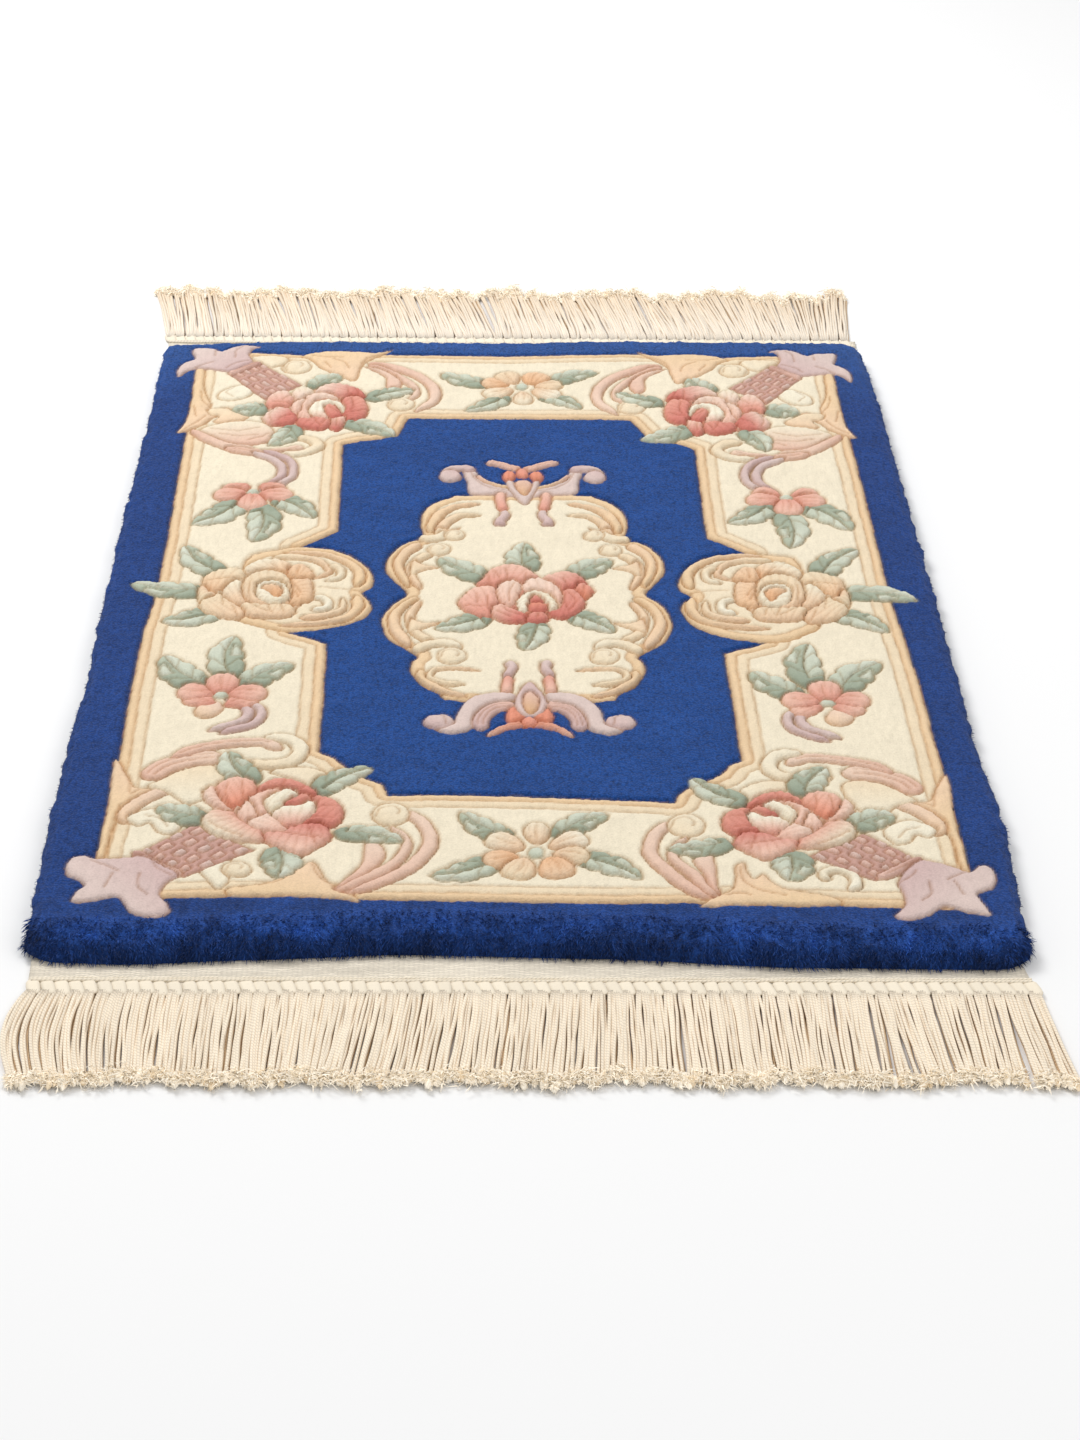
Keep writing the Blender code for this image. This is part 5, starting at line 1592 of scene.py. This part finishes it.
# %% The cords and the heading
def make_fringe(end, seed):
    sizes = END_STRIPS[end]
    away, edge = sizes["away"], sizes["edge"]
    rng = np.random.default_rng(seed)
    left, right = sizes["left"] + sizes["knots"][0], sizes["right"] - sizes["knots"][1]
    knots = int(round((right - left) / KNOT_PITCH)) + 1
    middles = np.linspace(left, right, knots) + rng.normal(size=knots) * 0.35

    members = rng.choice([4, 5, 5], knots)
    owner = np.repeat(np.arange(knots), members)
    order = np.concatenate([np.arange(m) - (m - 1) / 2 for m in members])
    many = len(owner)
    number = np.arange(many) * 0.42
    share = np.linspace(0, 1, STATIONS)
    ragged = 2.8 if end == "back" else 1.0
    uneven = 1.8 * np.sin(number * 1.2) + 1.8 * np.sin(number * 0.28) + rng.normal(size=many) * 1.3
    length = sizes["tips"] - TIP_LENGTH + uneven * ragged
    root_x = middles[owner] + order * 0.98 * KNOT_PITCH / members[owner]
    gather = -0.5 * order[:, None] * np.exp(-share * 14)
    spread = order * 0.12 + rng.normal(size=many) * 0.42
    knot_lean = rng.normal(size=knots)[owner] * 0.5
    phase = rng.uniform(0, 6.28, (2, many, 1))
    shake = 0.42 * np.sin(share * 5.2 + phase[0]) + 0.2 * np.sin(share * 11 + phase[1])
    shake = (shake - shake[:, :1]) * np.minimum(share * 4, 1)
    stray = drift_of(end, root_x, number, share) + (spread + knot_lean)[:, None] * share
    x = root_x[:, None] + stray + shake + gather
    y = edge + away * (sizes["cords"] + (length[:, None] + IN_FLUFF - sizes["cords"]) * share)
    over = np.abs(grain((many, STATIONS), (1.2, 5), seed + 1)) * 1.6
    lifted = (number[:, None] % 0.84 > 0.4) * 0.9 + over
    z = 1.55 + lifted * np.minimum(share * 8, 1) + 0.6 * np.exp(-share * 9)
    radii = CORD_RADIUS * (1 + 0.07 * rng.normal(size=(many, 1)))
    radii = radii * (1 + grain((many, STATIONS), (1, 3), seed + 2) * 0.05)
    points, faces, lay = tubes(np.stack([x, y, z], axis=2), radii, CORD_SIDES)
    # Painted shade on the underside of each cord, towards the floor
    under = np.clip(-lay[:, 1] * 0.9 + 0.25, 0, 1)[:, None]
    lay[:, 2] += np.repeat(rng.uniform(0, 5, many), STATIONS * CORD_SIDES)
    # Painted shade near the root, where the cords come out from under the knots
    tone = (1 + rng.normal(size=(many, 1)) * 0.03) * (0.62 + 0.38 * np.minimum(share * 11, 1))
    tone = np.repeat(tone.ravel(), CORD_SIDES)[:, None] * CORD_COLOUR * (1 + (CORD_UNDERSIDE_SHADE - 1) * under)
    if end == "back":
        far = np.clip(np.tile(np.repeat(share, CORD_SIDES), many) * 1.5 - 0.4, 0, 1)[:, None]
        tone = tone * CORD_COOL * (1 + (CORD_FAR - 1) * far)

    some = slice(None, None, 2)
    low_x = x + 0.9 + rng.normal(size=(many, 1)) * share * 1.5
    low_path = np.stack([low_x, y, np.full(x.shape, LOW_RADIUS)], axis=2)[:, some]
    low_points, low_faces, low_lay = tubes(low_path, np.full(low_path.shape[:2], LOW_RADIUS), LOW_SIDES)
    low_tone = np.repeat(rng.uniform(0.8, 1.05, many), low_path.shape[1] * LOW_SIDES)[:, None]
    # The lower cords are the same cotton, darkened as painted shade in the gaps between the upper cords
    low_tone = low_tone * CORD_COLOUR * LOW_CORD_SHADE
    cords = cotton_piece("fringe_cords_", end, [(points, faces), (low_points, low_faces)],
                         np.concatenate([tone, low_tone]), np.concatenate([lay, low_lay]))
    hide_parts("fringe_" + end)
    head = make_heading(end, middles, seed + 3)
    tips = make_tips(end, np.stack([x[:, -1], y[:, -1], z[:, -1]], axis=1), seed + 4)
    print(end, "fringe:", knots, "knots and", many, "cords")
    return [cords, head, *tips]


TWINED = ((-14.0, 2.7), (-11.9, 2.8))  # how far in from the edge, and how high
TWINE_RADIUS, TWINE_SIDES = 1.1, 6
PAD_SQUARE = (0.62, 0.55, 0.5)
PAD_WIDE, PAD_LONG, PAD_HIGH = 4.7, 7.6, {"front": 1.1, "back": 1.0}
PAD_LEAN, PAD_IN = -0.26, 5.0


def make_heading(end, middles, seed):
    """Two twined cords, and a slanting lump for each knot, each lying over the next."""
    sizes = END_STRIPS[end]
    away, edge = sizes["away"], sizes["edge"]
    rng = np.random.default_rng(seed)
    run = np.arange(sizes["left"] + 1.5, sizes["right"] - 1.5, 2.2)
    rows = []
    for offset, high in TWINED:
        wobble = grain((1, len(run)), (1, 5), seed + len(rows))[0] * 0.5
        rows.append(np.stack([run, edge + away * offset + wobble, np.full(len(run), high)], axis=1))
    points, faces, lay = tubes(np.array(rows), np.full((2, len(run)), TWINE_RADIUS), TWINE_SIDES)
    parts, all_lay, tones = [(points, faces)], [lay], [np.ones(len(points))]
    net, net_faces = ball_net(7, 10)
    net = np.sign(net) * np.abs(net) ** PAD_SQUARE
    high = PAD_HIGH[end]
    for middle in middles:
        pad = net * np.array((PAD_WIDE, PAD_LONG, high)) * rng.uniform(0.94, 1.06, 3)
        pad[:, 0] += pad[:, 1] * (rng.normal() * 0.05 + PAD_LEAN)
        pad[:, 2] += pad[:, 0] * 0.10
        pad += (middle, edge - away * PAD_IN + rng.normal() * 0.6, 1.9 + high * 0.3)
        parts.append((pad, net_faces))
        all_lay.append(np.tile((0.0, 1.0, 0.0), (len(net), 1)))
        # Painted shade at the sides of each knot, where it meets the next
        tones.append(rng.uniform(0.87, 0.94) * (1 - 0.5 * np.clip(np.abs(net[:, 0]) - 0.7, 0, 1)))
    tone = np.concatenate(tones)[:, None] * HEADING_COLOUR
    return cotton_piece("fringe_knots_", end, parts, tone, np.concatenate(all_lay))


# %% The untwisted tips
TIP_THREADS = 32
TIP_BROWN = (0.90, 0.82, 0.70)
FLOOR_GAP, TIP_TOP = 0.2, 6.5
TIP_COLOUR = linear((0.975, 0.935, 0.865))


def make_tips(end, tips, seed):
    """Each cut end has burst into a clot of fluff under a ruff of loose threads."""
    away = END_STRIPS[end]["away"]
    rng = np.random.default_rng(seed)
    net, net_faces = ball_net(5, 6)
    many = len(tips)
    size = rng.uniform(1.5, 2.2, (many, 1))
    middle = tips.copy()
    middle[:, 0] += rng.normal(size=many) * 1.2
    middle[:, 1] += away * (3.0 + rng.normal(size=many) * 1.2)
    middle[:, 2] = size[:, 0] + FLOOR_GAP + np.abs(rng.normal(size=many)) * 0.5
    rough = 1 + rng.normal(size=(many, len(net), 1)) * 0.14
    lumps = middle[:, None] + net * size[..., None] * (1.2, 3.0, 0.75) * rough
    lumps[..., 2] = np.maximum(lumps[..., 2], FLOOR_GAP)
    faces = (np.arange(many)[:, None, None] * len(net) + net_faces).reshape(-1, 4)
    brown = np.where(rng.random((many, 1)) < 0.15, TIP_BROWN, (1.0, 1.0, 1.0))
    tone = np.repeat(rng.uniform(0.88, 1.0, many)[:, None] * brown * TIP_COLOUR, len(net), axis=0)
    lay = np.tile((0.0, 1.0, 0.0), (len(tone), 1))
    clots = cotton_piece("fringe_tips_", end, [(lumps.reshape(-1, 3), faces)], tone, lay)

    count = many * TIP_THREADS
    root = np.repeat(tips, TIP_THREADS, axis=0) + rng.normal(size=(count, 3)) * (1.3, 3.0, 0.8)
    root = root + (0, away * 2.5, 1.0)
    way = rng.normal(size=(count, 3)) * (0.85, 0.6, 0.45) + (0.0, away * 0.55, 0.2)
    length, width = rng.uniform(2.5, 7.0, count), rng.uniform(0.6, 1.2, count)
    points, faces = blades(root, way, length, width, 0.3, np.full(count, 0.3), rng)
    points[:, 2] = np.minimum(points[:, 2], TIP_TOP)
    tone = np.repeat(rng.uniform(0.86, 1.12, count), 5)[:, None] * TIP_COLOUR
    lay = np.tile((0.0, 1.0, 0.0), (len(tone), 1))
    threads = cotton_piece("fringe_threads_", end, [(points, faces)], tone, lay)
    return [clots, threads]


fringes = make_fringe("front", 41) + make_fringe("back", 61)

# %% [markdown]
# ## Floor, light and camera
# The floor is plain and nearly white. One broad soft light from the upper left shows the carving without
# hard shadows, a weaker one from the right keeps the grooves from going black, and the bright surroundings
# do the rest. The camera stands where the photograph was taken: two metres from the rug and 1.08 m up.

# %% Floor
FLOOR_HALF = 6000.0
FLOOR_GREY = (0.86, 0.86, 0.86, 1.0)
floor_paint = bpy.data.materials.new("Pale floor")
floor_paint.use_nodes = True
paint = floor_paint.node_tree.nodes["Principled BSDF"]
paint.inputs["Base Color"].default_value = FLOOR_GREY
paint.inputs["Roughness"].default_value = 0.9
corners = [(x * FLOOR_HALF, y * FLOOR_HALF, 0.0) for x, y in ((-1, -1), (1, -1), (1, 1), (-1, 1))]
floor = new_object("floor", corners, [(0, 1, 2, 3)], floor_paint)

# %% Light
def area_light(name, place, size, watts):
    """A round soft lamp that shines at the middle of the rug."""
    lamp = bpy.data.lights.new(name, "AREA")
    lamp.shape = "DISK"
    lamp.size = size
    lamp.energy = watts
    made = bpy.data.objects.new(name, lamp)
    made.location = place
    made.rotation_euler = (-Vector(place)).to_track_quat("-Z", "Y").to_euler()
    bpy.context.scene.collection.objects.link(made)


area_light("key light", (-1.3, 1.5, 2.4), 1.3, 62.0)
area_light("fill light", (1.8, -1.4, 2.2), 2.2, 20.0)
world = bpy.data.worlds.new("Studio")
bpy.context.scene.world = world
world.use_nodes = True
world.node_tree.nodes["Background"].inputs["Color"].default_value = WHITE
world.node_tree.nodes["Background"].inputs["Strength"].default_value = 0.62
bpy.context.scene.view_settings.view_transform = "Standard"

# %% Camera
CAMERA_PLACE = Vector((-0.03738, -1.96412, 1.07660))
LENS = 74.55
YAW, PITCH, ROLL = 0.027460, 0.537918, 0.017885
forward = Vector((math.sin(YAW) * math.cos(PITCH), math.cos(YAW) * math.cos(PITCH), -math.sin(PITCH)))
level = Vector((math.cos(YAW), -math.sin(YAW), 0.0))
upright = level.cross(forward)
to_right = level * math.cos(ROLL) + upright * math.sin(ROLL)
to_top = upright * math.cos(ROLL) - level * math.sin(ROLL)
camera = bpy.data.objects.new("camera", bpy.data.cameras.new("camera"))
turned = Matrix((to_right, to_top, -forward)).transposed()
camera.matrix_world = Matrix.Translation(CAMERA_PLACE) @ turned.to_4x4()
camera.data.lens = LENS
camera.data.sensor_width = 36.0
camera.data.clip_end = 50.0
bpy.context.scene.collection.objects.link(camera)
bpy.context.scene.camera = camera
